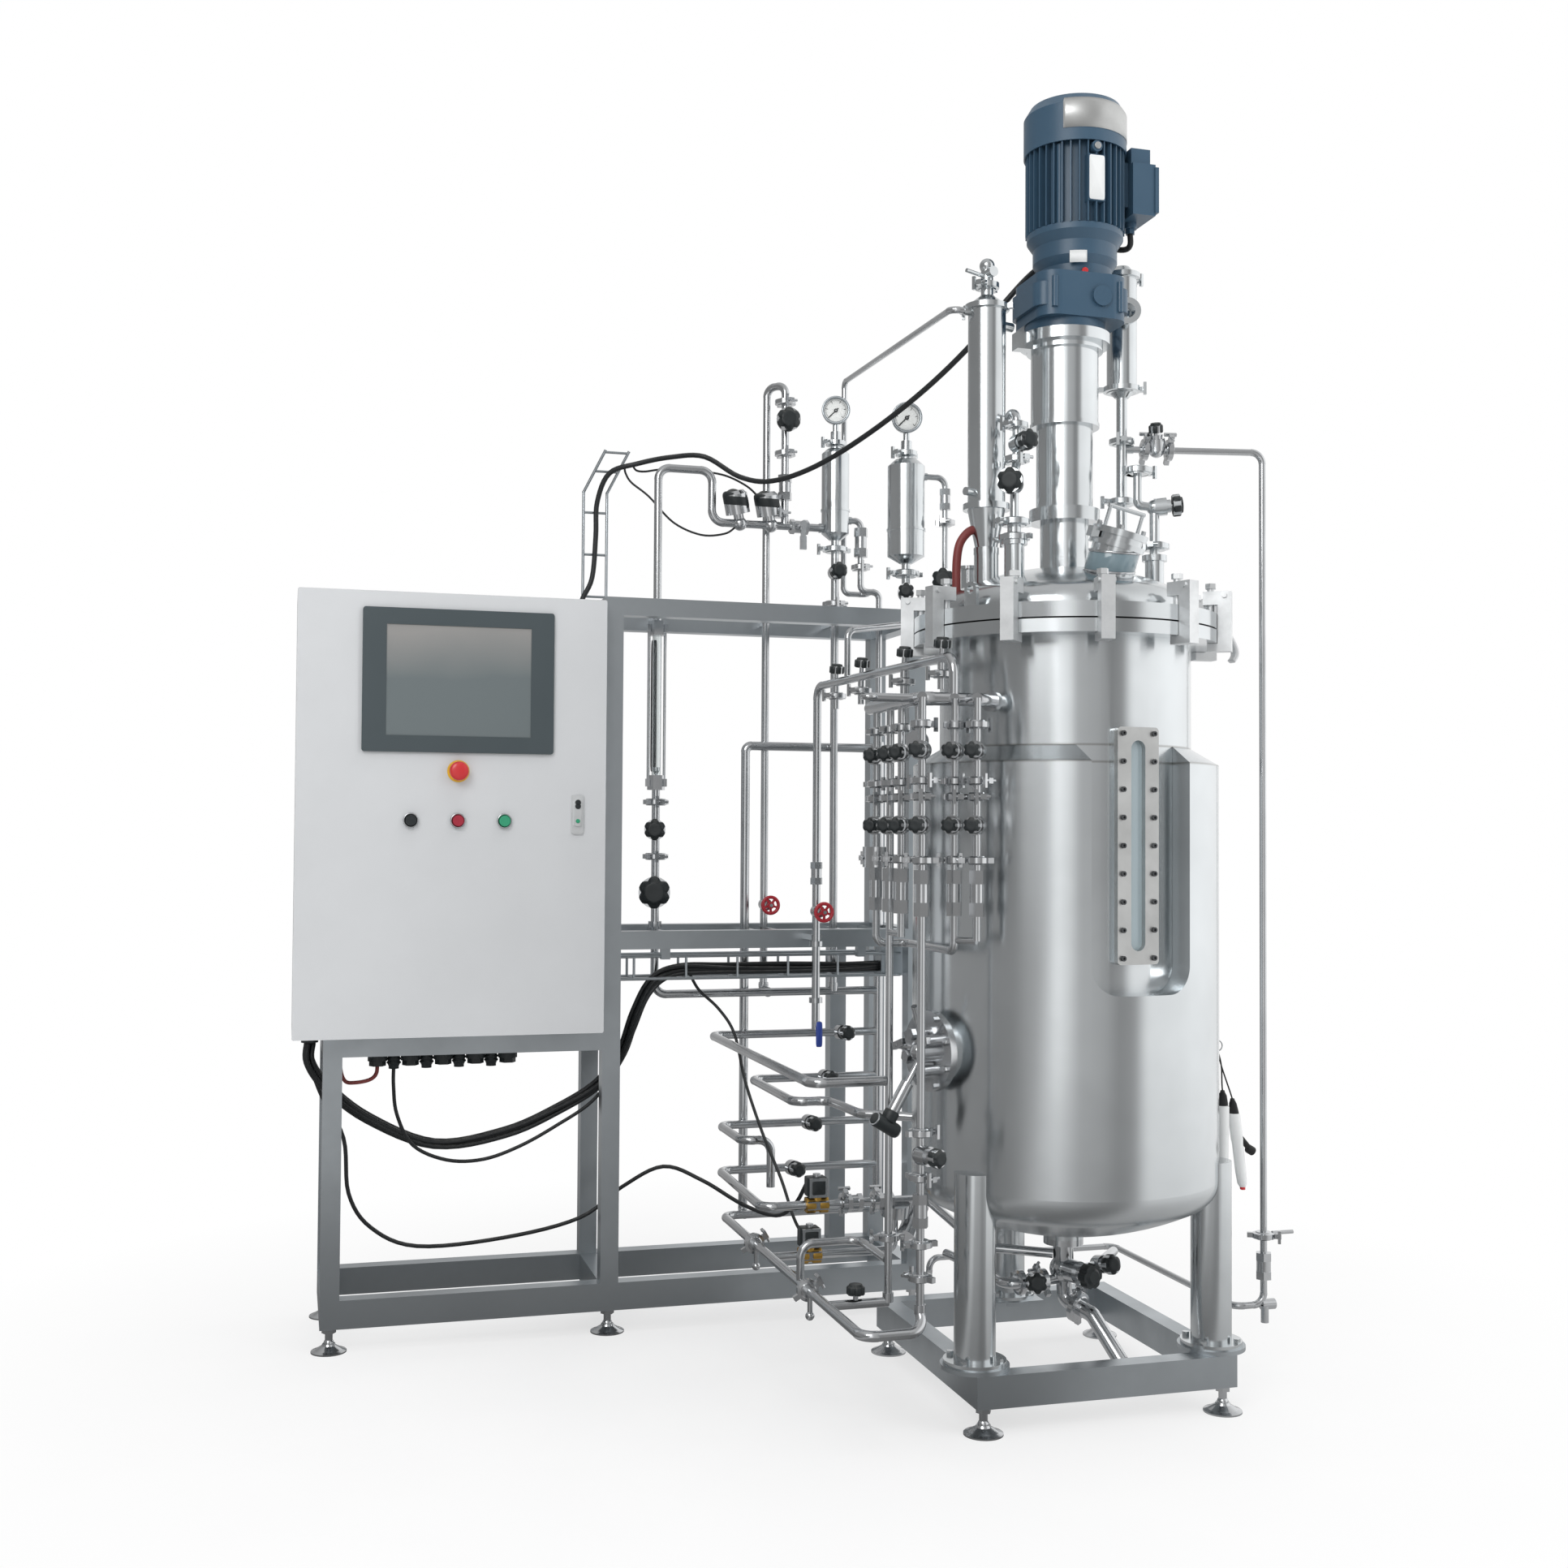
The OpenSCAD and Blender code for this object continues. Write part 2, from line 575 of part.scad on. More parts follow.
module motor_body() color(blue) translate([motor_x, vy, motor_z]) {
    cylinder(r = 84, h = 10);
    translate([0, 0, 10]) cylinder(r1 = 84, r2 = motor_r - 3, h = bell_h - 22);
    translate([0, 0, bell_h - 12]) cylinder(r = motor_r - 3, h = 12);
    translate([0, 0, bell_h]) linear_extrude(motor_h) {
        circle(r = motor_r - 15);
        for (k = [0:fin_n - 1]) rotate(k * 360 / fin_n) translate([motor_r - 18, -1.3]) square([18, 2.6]);
    }
    for (a = [45:90:315]) rotate(a) translate([motor_r - 12, 0, bell_h])
        cylinder(r = 7, h = motor_h - cowl_over - 2);
    translate([-18, -motor_r - 1, bell_h + 40]) cube([36, 24, 92]);
    translate([0, -motor_r + 12, bell_h + 148]) rotate([90, 0, 0]) cylinder(r = 11, h = 15);
    translate([0, 0, bell_h + motor_h]) cylinder(r = 10, h = 8);
}
cowl_r = motor_r + 3.5;
module fan_cowl() color(blue) translate([motor_x, vy, motor_top]) difference() {
    union() {
        translate([0, 0, -cowl_over]) cylinder(r = cowl_r, h = cowl_over + cowl_h - 26, $fn = 72);
        translate([0, 0, cowl_h - 26]) cylinder(r1 = cowl_r, r2 = cowl_r - 12, h = 20, $fn = 72);
        translate([0, 0, cowl_h - 6]) cylinder(r1 = cowl_r - 12, r2 = cowl_r - 26, h = 6, $fn = 72);
    }
    translate([0, 0, -cowl_over - 1]) cylinder(r = motor_r + 0.6, h = cowl_over + 1, $fn = 72);
    translate([0, 0, -1]) cylinder(r = motor_r - 6, h = cowl_h - 24, $fn = 72);
    translate([0, 0, cowl_h - 26]) cylinder(r1 = motor_r - 6, r2 = cowl_r - 28, h = 22, $fn = 72);
    for (ring = [24:14:66]) translate([0, 0, cowl_h - 8]) difference() {
        cylinder(r = ring + 7, h = 10);
        translate([0, 0, -1]) cylinder(r = ring, h = 12);
        for (a = [0, 60, 120]) rotate(a) translate([-100, -4, -1]) cube([200, 8, 12]);
    }
}
module motor_fan() color(black) translate([motor_x, vy, motor_top + 8 + free_gap]) {
    cylinder(r = 22, h = 24);
    cylinder(r = motor_r - 30, h = 3);
    for (k = [0:6]) rotate(k * 360 / 7) translate([20, -1.5, 0]) cube([motor_r - 40, 3, 22]);
}
module terminal_box() color(blue) translate([motor_x + motor_r - 16, vy - 56, motor_z + 80]) difference() {
    union() {
        translate([0, 22, 20]) cube([20, 68, 90]);
        translate([18, 0, 0]) cube([50, 112, 104]);
        translate([18, 8, 104]) cube([42, 96, 32]);
        translate([66, -3, 6]) cube([8, 118, 92]);
        translate([40, 56, -12]) cylinder(r = 13, h = 14);
        translate([40, 56, -22]) cylinder(r = 10, h = 12, $fn = 6);
    }
    translate([-motor_r + 16, 56, -200]) cylinder(r = motor_r + 0.3, h = 500);
    translate([-motor_r + 16, 56, motor_top - cowl_over - motor_z - 81])
        cylinder(r = cowl_r + free_gap, h = 300);
}

// Sight port: a wide tube with a tilted, hinged cover and a bail handle
module sight_port() color(steel) at_hatch() translate([0, 0, hatch_h]) difference() {
    union() {
        cylinder(r = 54, h = 10);
        translate([0, 0, 10]) cylinder(r = 46, h = 12);
        translate([0, 0, 22]) cylinder(r = 54, h = 12);
        for (a = [0:60:300]) rotate(a) translate([49, 0, 30]) cylinder(r = 5, h = 12, $fn = 6);
        for (s = [-1, 1]) translate([s * 36, 0, 34]) cylinder(r = 4, h = 40);
        translate([-40, 0, 74]) rotate([0, 90, 0]) cylinder(r = 4, h = 80);
        translate([-64, -10, 8]) cube([16, 20, 20]);
    }
    translate([0, 0, -1]) cylinder(r = 38, h = 27);
}
exhaust = around(exhaust_at[1], exhaust_at[0], dome_z + 125);
cone_h = 88;
vent_z = cone_h + condenser_h - 14;
vent_stub = 12;
feed = around(feed_at[1], feed_at[0], dome_z + 130) - exhaust;
// Bypass from the feed nozzle up to the condenser's side, with two valves
module feed_tower() {
    shift = [12, 17, 155];
    top = feed + shift + [0, 0, 108];
    translate(feed) {
        cylinder(r = ferrule_r, h = 6);
        cylinder(r = 13, h = 40);
        clamp([0, 0, 8], turn = -60);
        clamp([0, 0, 38], turn = 20);
        valve([0, 0, 110], side_face, knob_r);
    }
    pipe([feed, feed + [0, 0, 134], feed + shift, top, [condenser_r - 12, -6, top[2] - 19]],
        r = small_r + 1.5, bend_r = 20);
    clamp(feed + shift + [0, 0, 8], r = 20, turn = 100);
    valve(feed + shift + [0, 0, 38], [0.1, -1, 0], knob_r * 0.8);
    clamp(feed + shift + [0, 0, 74], r = small_f, turn = 30);
}
module exhaust_condenser() color(steel) translate(exhaust) {
    cylinder(r = ferrule_r, h = 6);
    translate([0, 0, 6]) cylinder(r1 = 22, r2 = condenser_r, h = cone_h - 14);
    translate([0, 0, cone_h - 8]) cylinder(r = condenser_r + 9, h = 12);
    translate([0, 0, cone_h]) cylinder(r = condenser_r, h = condenser_h);
    translate([0, 0, cone_h + condenser_h - 6]) clamp([0, 0, 0], r = condenser_r + 2, turn = -40);
    translate([0, 0, cone_h + condenser_h]) cylinder(r1 = condenser_r, r2 = 14, h = 18);
    translate([0, 0, cone_h + condenser_h + 16]) {
        cylinder(r = 12, h = 62);
        clamp([0, 0, 22], r = 19, turn = 40);
        translate([0, 0, 62]) sphere(r = 15);
        aim([0, 0, 46], [0.2, -1, 0]) cylinder(r = 10, h = 24);
        aim([0, 0, 40], [-1, -0.3, 0.1]) cylinder(r = 4, h = 52);
    }
    aim([0, 0, vent_z], [-1, 0, 0]) cylinder(r = small_r + 3, h = condenser_r + vent_stub);
    aim([0, 0, cone_h + condenser_h - 34], [1, 0.3, 0]) cylinder(r = 9, h = condenser_r + 26);
    aim([0, 0, cone_h + 24], [-1, -0.4, 0]) cylinder(r = 8, h = condenser_r + 20);
    feed_tower();
}
side = around(side_at[1], side_at[0], dome_z + 150);
side_r = 31;
side_low = 345;
side_take = 221;
side_stub = 24;
return_y = vy + 20;
take = unit([return_x - side[0], return_y - side[1], 0]);
inoc = around(inoc_at[1], inoc_at[0], dome_z + 130) - side;
// Inoculation valve with its capped branch
module inoc_tower() translate(inoc) {
    cylinder(r = ferrule_r, h = 6);
    cylinder(r = 10, h = 92);
    clamp([0, 0, 24], turn = 50);
    valve([0, 0, 104], [1, -0.4, 0.1], knob_r * 0.9);
    pipe([[0, 0, 104], [-34, 8, 108], [-34, 8, 176]], r = 8.5, bend_r = 12);
    translate([-34, 8, 170]) cylinder(r = ferrule_r, h = 6);
    clamp([-34, 8, 178], turn = 200);
}
module side_condenser() color(steel) translate(side) {
    cylinder(r = ferrule_r, h = 6);
    cylinder(r = 11, h = side_low);
    aim([0, 0, side_take], take) cylinder(r = small_r + 2, h = side_stub);
    clamp([0, 0, 110]);
    clamp([0, 0, 236], r = 21, turn = 70);
    translate([0, 0, side_low - 18]) cylinder(r1 = 14, r2 = side_r, h = 18);
    inoc_tower();
    clamp([0, 0, side_low], r = side_r + 2, turn = 160);
    translate([0, 0, side_low]) cylinder(r = side_r, h = 235);
    clamp([0, 0, side_low + 236], r = side_r + 2, turn = 200);
    translate([0, 0, side_low + 236]) cylinder(r1 = side_r, r2 = 16, h = 20);
    translate([0, 0, side_low + 150]) aim([0, 0, 0], [-0.25, -1, 0]) difference() {
        union() {
            cylinder(r = 19, h = side_r + 22);
            translate([0, 0, side_r + 16]) cylinder(r = 27, h = 10);
        }
        translate([0, 0, side_r - 4]) cylinder(r = 15, h = 40);
    }
}

// Filter housings, each a domed shell on a tri-clamp base with a gauge tee on top
filter_a = [1176, rack_my, 1818];
filter_b = [1226, -200, 1711];
filter_wall = 2.5;
gauge_stem = 62;
module filter_housing(p, r, h) translate(p) difference() {
    union() {
        cylinder(r = r, h = h - r * 0.35);
        translate([0, 0, h - r * 0.35]) cylinder(r1 = r, r2 = r * 0.62, h = r * 0.35);
        translate([0, 0, h]) cylinder(r = 12, h = 42);
        clamp([0, 0, h + 14], r = 19, turn = 30);
        translate([0, 0, h + 41]) cylinder(r = 7, h = gauge_stem - 41);
        translate([0, 0, -16]) cylinder(r1 = 14, r2 = r, h = 16.01);
        translate([0, 0, h * 0.26]) cylinder(r = r + 2, h = 5);
        translate([0, 0, -60]) cylinder(r = line_r, h = 46);
        clamp([0, 0, -38], turn = 10);
    }
    translate([0, 0, 4]) cylinder(r = r - filter_wall, h = h - r * 0.35 - 4);
}
filter_a_h = 204;
filter_b_h = 214;
stub = 7;
module filter_housing_a() color(steel) {
    filter_housing(filter_a, filter_a_r, filter_a_h);
    for (s = [[-1, air_z, line_r + 2], [1, air_z + 22, small_r + 3]])
        translate([filter_a[0] + s[0] * (filter_a_r - 1), rack_my, s[1]])
            aim([0, 0, 0], [s[0], 0, 0]) cylinder(r = s[2], h = stub + 1);
}
bypass_z = filter_b[2] + 180;
module filter_housing_b() color(steel) {
    filter_housing(filter_b, filter_b_r, filter_b_h);
    aim([filter_b[0] + filter_b_r - 1, filter_b[1], bypass_z], [1, 0, 0])
        cylinder(r = small_r + 2, h = stub + 1);
}
module filter_cartridges() color("white") {
    for (f = [[filter_a, filter_a_r, filter_a_h], [filter_b, filter_b_r, filter_b_h]])
        translate(f[0] + [0, 0, 4]) difference() {
            cylinder(r = f[1] - filter_wall - 4, h = f[2] - f[1] * 0.35 - 16);
            translate([0, 0, 6]) cylinder(r = f[1] * 0.4, h = f[2]);
        }
}
gauge_face = [-0.25, -1, 0];
gauge_d = 24;
gauge_a = filter_a + [0, 0, filter_a_h + gauge_stem + gauge_r];
gauge_b = filter_b + [0, 0, filter_b_h + gauge_stem + gauge_r];
module gauge_case() difference() {
    union() {
        translate([0, 0, -gauge_d / 2]) cylinder(r = gauge_r, h = gauge_d);
        translate([0, 0, gauge_d / 2 - 6]) cylinder(r = gauge_r + 2, h = 6);
    }
    translate([0, 0, gauge_d / 2 - 7]) cylinder(r = gauge_r - 2, h = 8);
}
module pressure_gauges() color(steel) for (g = [gauge_a, gauge_b]) aim(g, gauge_face) {
    gauge_case();
    translate([0, 0, gauge_d / 2 - 8]) cylinder(r = 2, h = 4);
}
module pointer() translate([0, 0, gauge_d / 2 - 7 + 0.5]) rotate(225) difference() {
    union() {
        cylinder(r = 4.5, h = 2);
        translate([-1.2, -8, 0]) cube([2.4, gauge_r + 2, 1.2]);
    }
    translate([0, 0, -1]) cylinder(r = 2 + run_gap, h = 4);
}
module gauge_pointer_a() color(black) aim(gauge_a, gauge_face) pointer();
module gauge_pointer_b() color(black) aim(gauge_b, gauge_face) pointer();

// Rotameter column between the top and middle beams
meter = [743, rack_my, mid_z];
meter_low = 352;
meter_len = 325;
meter_r = 11;
meter_top = mid_z + meter_low + meter_len + 34;
module rotameter() color(steel) translate(meter) {
    cylinder(r = line_r + 6, h = 14);
    cylinder(r = line_r, h = meter_low - 14);
    valve([0, 0, 82], [-0.25, -1, 0], knob_r * 1.5);
    clamp([0, 0, 164], turn = 100);
    valve([0, 0, 226], [-0.25, -1, 0], knob_r);
    clamp([0, 0, 290], turn = 100);
    for (s = [0, 1]) translate([0, 0, meter_low - 34 + s * (meter_len + 34)]) {
        cylinder(r = 21, h = 34, $fn = 6);
        translate([-24, -8, 8]) cube([48, 16, 18]);
    }
    for (s = [-1, 1]) translate([s * 19, 0, meter_low - 12]) cylinder(r = 3.5, h = meter_len + 24);
}
module rotameter_tube() color("#b7c8cc") translate(meter + [0, 0, meter_low]) difference() {
    cylinder(r = meter_r, h = meter_len);
    translate([0, 0, -1]) cylinder(r = meter_r - 2.5, h = meter_len + 2);
}
module rotameter_float() color(dark_steel) translate(meter + [0, 0, meter_low + free_gap]) {
    cylinder(r1 = 2, r2 = meter_r - 3, h = 10);
    translate([0, 0, 10]) cylinder(r = meter_r - 3, h = 8);
}

// Control cabinet: folded body, hinged door with a chamfered edge, and what the door carries
cab_front = cab_y + door_d;
module cabinet_body() color(grey) difference() {
    union() {
        translate([cab_x, cab_front, cab_z]) cube([cab_w, cab_d, cab_h]);
        translate([cab_x + 60, cab_front + 60, shelf_z]) cube([cab_w - 120, cab_d - 120, cab_z - shelf_z]);
        translate([gland_x - 30, gland_y - 30, gland_z]) cube([4 * gland_gap + 60, 60, cab_z - gland_z]);
    }
    translate([cab_x + cab_wall, cab_front - 1, cab_z + cab_wall])
        cube([cab_w - 2 * cab_wall, cab_d - cab_wall + 1, cab_h - 2 * cab_wall]);
    for (k = [0:4]) translate([gland_x + k * gland_gap, gland_y, gland_z - 1]) cylinder(r = 15, h = 20);
    for (g = side_glands) translate([g[0], g[1], cab_z - 1]) cylinder(r = 15, h = 5);
    translate(motor_gland + [0, 1, 0]) rotate([90, 0, 0]) cylinder(r = 15, h = 5);
}
screen_c = [cab_x + cab_w / 2 + 8, cab_z + cab_h - 35 - panel_h / 2];
stop_c = [cab_x + cab_w / 2 + 8, cab_z + cab_h - 378];
button_z = stop_c[1] - 105;
button_gap = 98;
latch_c = [cab_x + cab_w - 62, button_z + 15];
door_gap = 1;
module cabinet_door() color(grey) difference() {
    translate([cab_x, cab_front - door_gap, cab_z]) rotate([90, 0, 0]) linear_extrude(door_d - door_gap)
        translate([cab_w / 2, cab_h / 2]) plate2d(cab_w, cab_h, 4);
    translate([cab_x + 14, cab_y + cab_wall, cab_z + 14]) cube([cab_w - 28, door_d, cab_h - 28]);
    translate([screen_c[0] - panel_w / 2 + 8, cab_y - 1, screen_c[1] - panel_h / 2 + 8])
        cube([panel_w - 16, 12, panel_h - 16]);
    translate([stop_c[0], cab_y - 1, stop_c[1]]) rotate([-90, 0, 0]) cylinder(r = 11.2, h = 10);
    for (k = [-1:1]) translate([stop_c[0] + k * button_gap, cab_y - 1, button_z])
        rotate([-90, 0, 0]) cylinder(r = 8.2, h = 10);
    translate([latch_c[0], cab_y - 1, latch_c[1] - 14]) rotate([-90, 0, 0]) cylinder(r = 8.2, h = 10);
}
module mounting_plate() color(steel) translate([cab_x + 50, cab_front + cab_d - cab_wall - 22, cab_z + 60]) {
    cube([cab_w - 100, 3, cab_h - 120]);
    for (x = [20, cab_w - 140], z = [20, cab_h - 160])
        translate([x, 3, z]) cube([20, 19, 20]);
    for (z = [150, 330, 510, 690]) translate([30, -8, z]) cube([cab_w - 160, 8, 35]);
    last = floor((cab_w - 214) / 52);
    for (z = [150, 330, 510], k = [0:last]) translate([40 + k * 52, -62, z - 32]) cube([44, 54, 96]);
    translate([40, -92, 640]) cube([180, 84, 150]);
}
module touch_panel() color("#4b5558") difference() {
    union() {
        translate([screen_c[0], cab_y, screen_c[1]]) rotate([90, 0, 0]) linear_extrude(8)
            plate2d(panel_w, panel_h, 6);
        translate([screen_c[0] - panel_w / 2 + 10, cab_y, screen_c[1] - panel_h / 2 + 10])
            cube([panel_w - 20, door_d + 30, panel_h - 20]);
    }
    translate([screen_c[0] - 152, cab_y - 9, screen_c[1] - 117]) cube([304, 5, 234]);
}
module panel_screen() color("#8d9396") translate([screen_c[0] - 152, cab_y - 6, screen_c[1] - 117])
    cube([304, 2, 234]);
module emergency_stop() color(red) translate([stop_c[0], cab_y, stop_c[1]]) rotate([90, 0, 0]) {
    translate([0, 0, -16]) cylinder(r = 11, h = 32);
    translate([0, 0, 14]) cylinder(r = stop_r - 4, h = 4);
    translate([0, 0, 18]) cylinder(r1 = stop_r, r2 = stop_r - 3, h = 12);
}
module push_button(k, c) color(c) translate([stop_c[0] + k * button_gap, cab_y, button_z])
    rotate([90, 0, 0]) {
        translate([0, 0, -16]) cylinder(r = 8, h = 24);
        translate([0, 0, 6]) cylinder(r = button_r, h = 8);
    }
module button_black() push_button(-1, black);
module button_red() push_button(0, red);
module button_green() push_button(1, "#23935a");
module door_latch() color(dark_steel) translate([latch_c[0], cab_y - free_gap, latch_c[1]])
    rotate([90, 0, 0]) {
        linear_extrude(5) plate2d(26, 84, 5);
        translate([0, 4, 5]) linear_extrude(5) plate2d(16, 58, 6);
        translate([0, -14, -26]) cylinder(r = 8, h = 30);
        translate([-8, -20, -30]) cube([50, 12, 4]);
    }

// Cable glands: five under the cabinet, two at its left end and one at its back
gland_x = cab_x + 180;
gland_gap = 70;
gland_z = shelf_z - 45;
gland_y = cab_front + cab_d / 2;
gland_h = 24;
side_glands = [[-26, 110], [-26, 160]];
motor_gland = [548, cab_front + cab_d, 1440];
module gland() {
    cylinder(r = 18, h = 12, $fn = 6);
    translate([0, 0, 11]) cylinder(r = 21, h = gland_h - 11);
    translate([0, 0, gland_h - 1]) cylinder(r = 14.5, h = 8);
}
module cable_glands() color(black) {
    for (k = [0:4]) translate([gland_x + k * gland_gap, gland_y, gland_z - gland_h]) gland();
    for (g = side_glands) translate([g[0], g[1], cab_z - gland_h]) gland();
    translate(motor_gland + [0, gland_h, 0]) rotate([90, 0, 0]) gland();
}

// Cable ladder beside the middle top beam, and the wire tray under the middle beams
ladder_off = 8;
ladder_low = 1560;
ladder_top = 1905;
ladder_y = post_y - ladder_off;
lean = [45, -40, 95];
wire_r = 3.5;
tray_z = mid_z - tube - 70;
tray_y = 55;
tray_w = 85;
block_x = 1268;
module cable_ladder() color(dark_steel) {
    wide = tube + 2 * ladder_off;
    translate([mid_x - ladder_off, ladder_y, 0]) {
        for (x = [0, wide]) {
            rod([x, 0, ladder_low], [x, 0, ladder_top], wire_r);
            translate([x, 0, ladder_top]) sphere(r = wire_r + weld);
            rod([x, 0, ladder_top], [x, 0, ladder_top] + lean, wire_r);
        }
        for (z = [48, 148, 248]) rod([0, 0, ladder_top - z], [wide, 0, ladder_top - z], wire_r - under);
        for (t = [0.5, 0.95]) rod([0, 0, ladder_top] + t * lean, [wide, 0, ladder_top] + t * lean,
            wire_r - under);
        for (x = [0, wide - ladder_off]) translate([x, -8, rack_top - 30]) cube([ladder_off, 16, 20]);
    }
    for (y = [0, tray_w], z = [0, 50])
        rod([mid_x + tube, tray_y + y, tray_z + z], [right_x, tray_y + y, tray_z + z], wire_r);
    for (x = [mid_x + tube + 40:120:right_x - 20]) {
        rod([x, tray_y, tray_z], [x, tray_y + tray_w, tray_z], wire_r - under);
        for (y = [0, tray_w]) rod([x, tray_y + y, tray_z], [x, tray_y + y, tray_z + 50], wire_r - under);
    }
    for (x = [mid_x + tube + 100, right_x - 110]) translate([x, tube, tray_z + 44]) cube([20, 20, 26]);
    translate([block_x, 76, tray_z - 4]) cube([60, 44, 74]);
}

// A cord as one swept tube: rings of eight points along a smooth curve through the route's points
function smooth(p, i, t) = let (a = p[max(i - 1, 0)], b = p[i], c = p[i + 1], d = p[min(i + 2, len(p) - 1)])
    0.5 * (2 * b + (c - a) * t + (2 * a - 5 * b + 4 * c - d) * t * t + (3 * b - a - 3 * c + d) * t * t * t);
function route(p, steps) = concat([for (i = [0:len(p) - 2], k = [0:steps - 1]) smooth(p, i, k / steps)],
    [p[len(p) - 1]]);
module cord(points, r, side = [0.35, 1, 0.2], steps = 1) {
    c = route(points, steps);
    n = len(c);
    rings = [for (i = [0:n - 1]) let (t = unit(c[min(i + 1, n - 1)] - c[max(i - 1, 0)]),
        u = unit(cross(t, side)), w = cross(t, u))
        for (k = [0:7]) c[i] + r * (u * cos(45 * k) + w * sin(45 * k))];
    faces = concat([[for (k = [0:7]) 7 - k]], [for (i = [0:n - 2], k = [0:7])
        [i * 8 + k, i * 8 + (k + 1) % 8, i * 8 + 8 + (k + 1) % 8, i * 8 + 8 + k]],
        [[for (k = [0:7]) (n - 1) * 8 + k]]);
    polyhedron(rings, faces);
}
motor_cable_r = 6;
motor_route = [[548, 213, 1440], [548, 234, 1440], [556, 250, 1480], [566, 256, 1560], [580, 258, 1640],
    [606, 262, 1700], [614, 262, 1800], [616, 258, 1880], [640, 232, 1945], [700, 200, 1965],
    [780, 196, 1985], [860, 190, 1990], [930, 130, 1935], [990, 60, 1915], [1060, -60, 1930],
    [1140, -200, 1980], [1220, -330, 2050], [1290, -430, 2130], [1340, -485, 2205], [1405, -500, 2275],
    [1475, -510, 2312], [1528, -548, 2314], [1552, -596, 2298], [1555, -620, 2300], [1555, -620, 2322]];
loom_r = 14;
loom_route = [[-26, 110, 641], [-26, 110, 600], [10, 124, 545], [100, 136, 470], [245, 140, 405],
    [400, 140, 425], [520, 138, 475], [610, 132, 530], [660, 120, 600], [690, 110, 690],
    [728, 102, 762], [790, 98, 788], [900, 98, 788], [1040, 98, 788], [1160, 98, 788], [1268, 98, 788]];
floor_cable_r = 4.5;
floor_route = [[-26, 160, 641], [-26, 160, 600], [0, 176, 520], [50, 180, 420], [62, 170, 300],
    [110, 160, 225], [210, 152, 180], [400, 150, 188], [572, 150, 223], [669, 150, 288], [765, 150, 330],
    [850, 120, 300], [920, 20, 262], [962, -110, 262], [985, -180, 300], [1001, -214, 350],
    [1001, -232, 350]];
sensor_cable_r = 3.5;
sensor_route = [[815, 108, 775], [836, 104, 738], [880, 92, 695], [910, 62, 640], [920, 0, 540],
    [938, -80, 440], [962, -150, 350], [976, -195, 280], [987, -216, 250], [987, -232, 250]];
module motor_cable() color(black) cord(motor_route, motor_cable_r, [1, 1, 0.1]);
module cabinet_loom() color(black) cord(loom_route, loom_r);
module floor_cable() color(black) cord(floor_route, floor_cable_r);
module sensor_cable() color(black) cord(sensor_route, sensor_cable_r);

// A flat bar across the rack's depth that a riser is clipped to
module saddle(x, z) translate([x + line_r - 3, tube, z]) cube([8, post_y - tube, 14]);

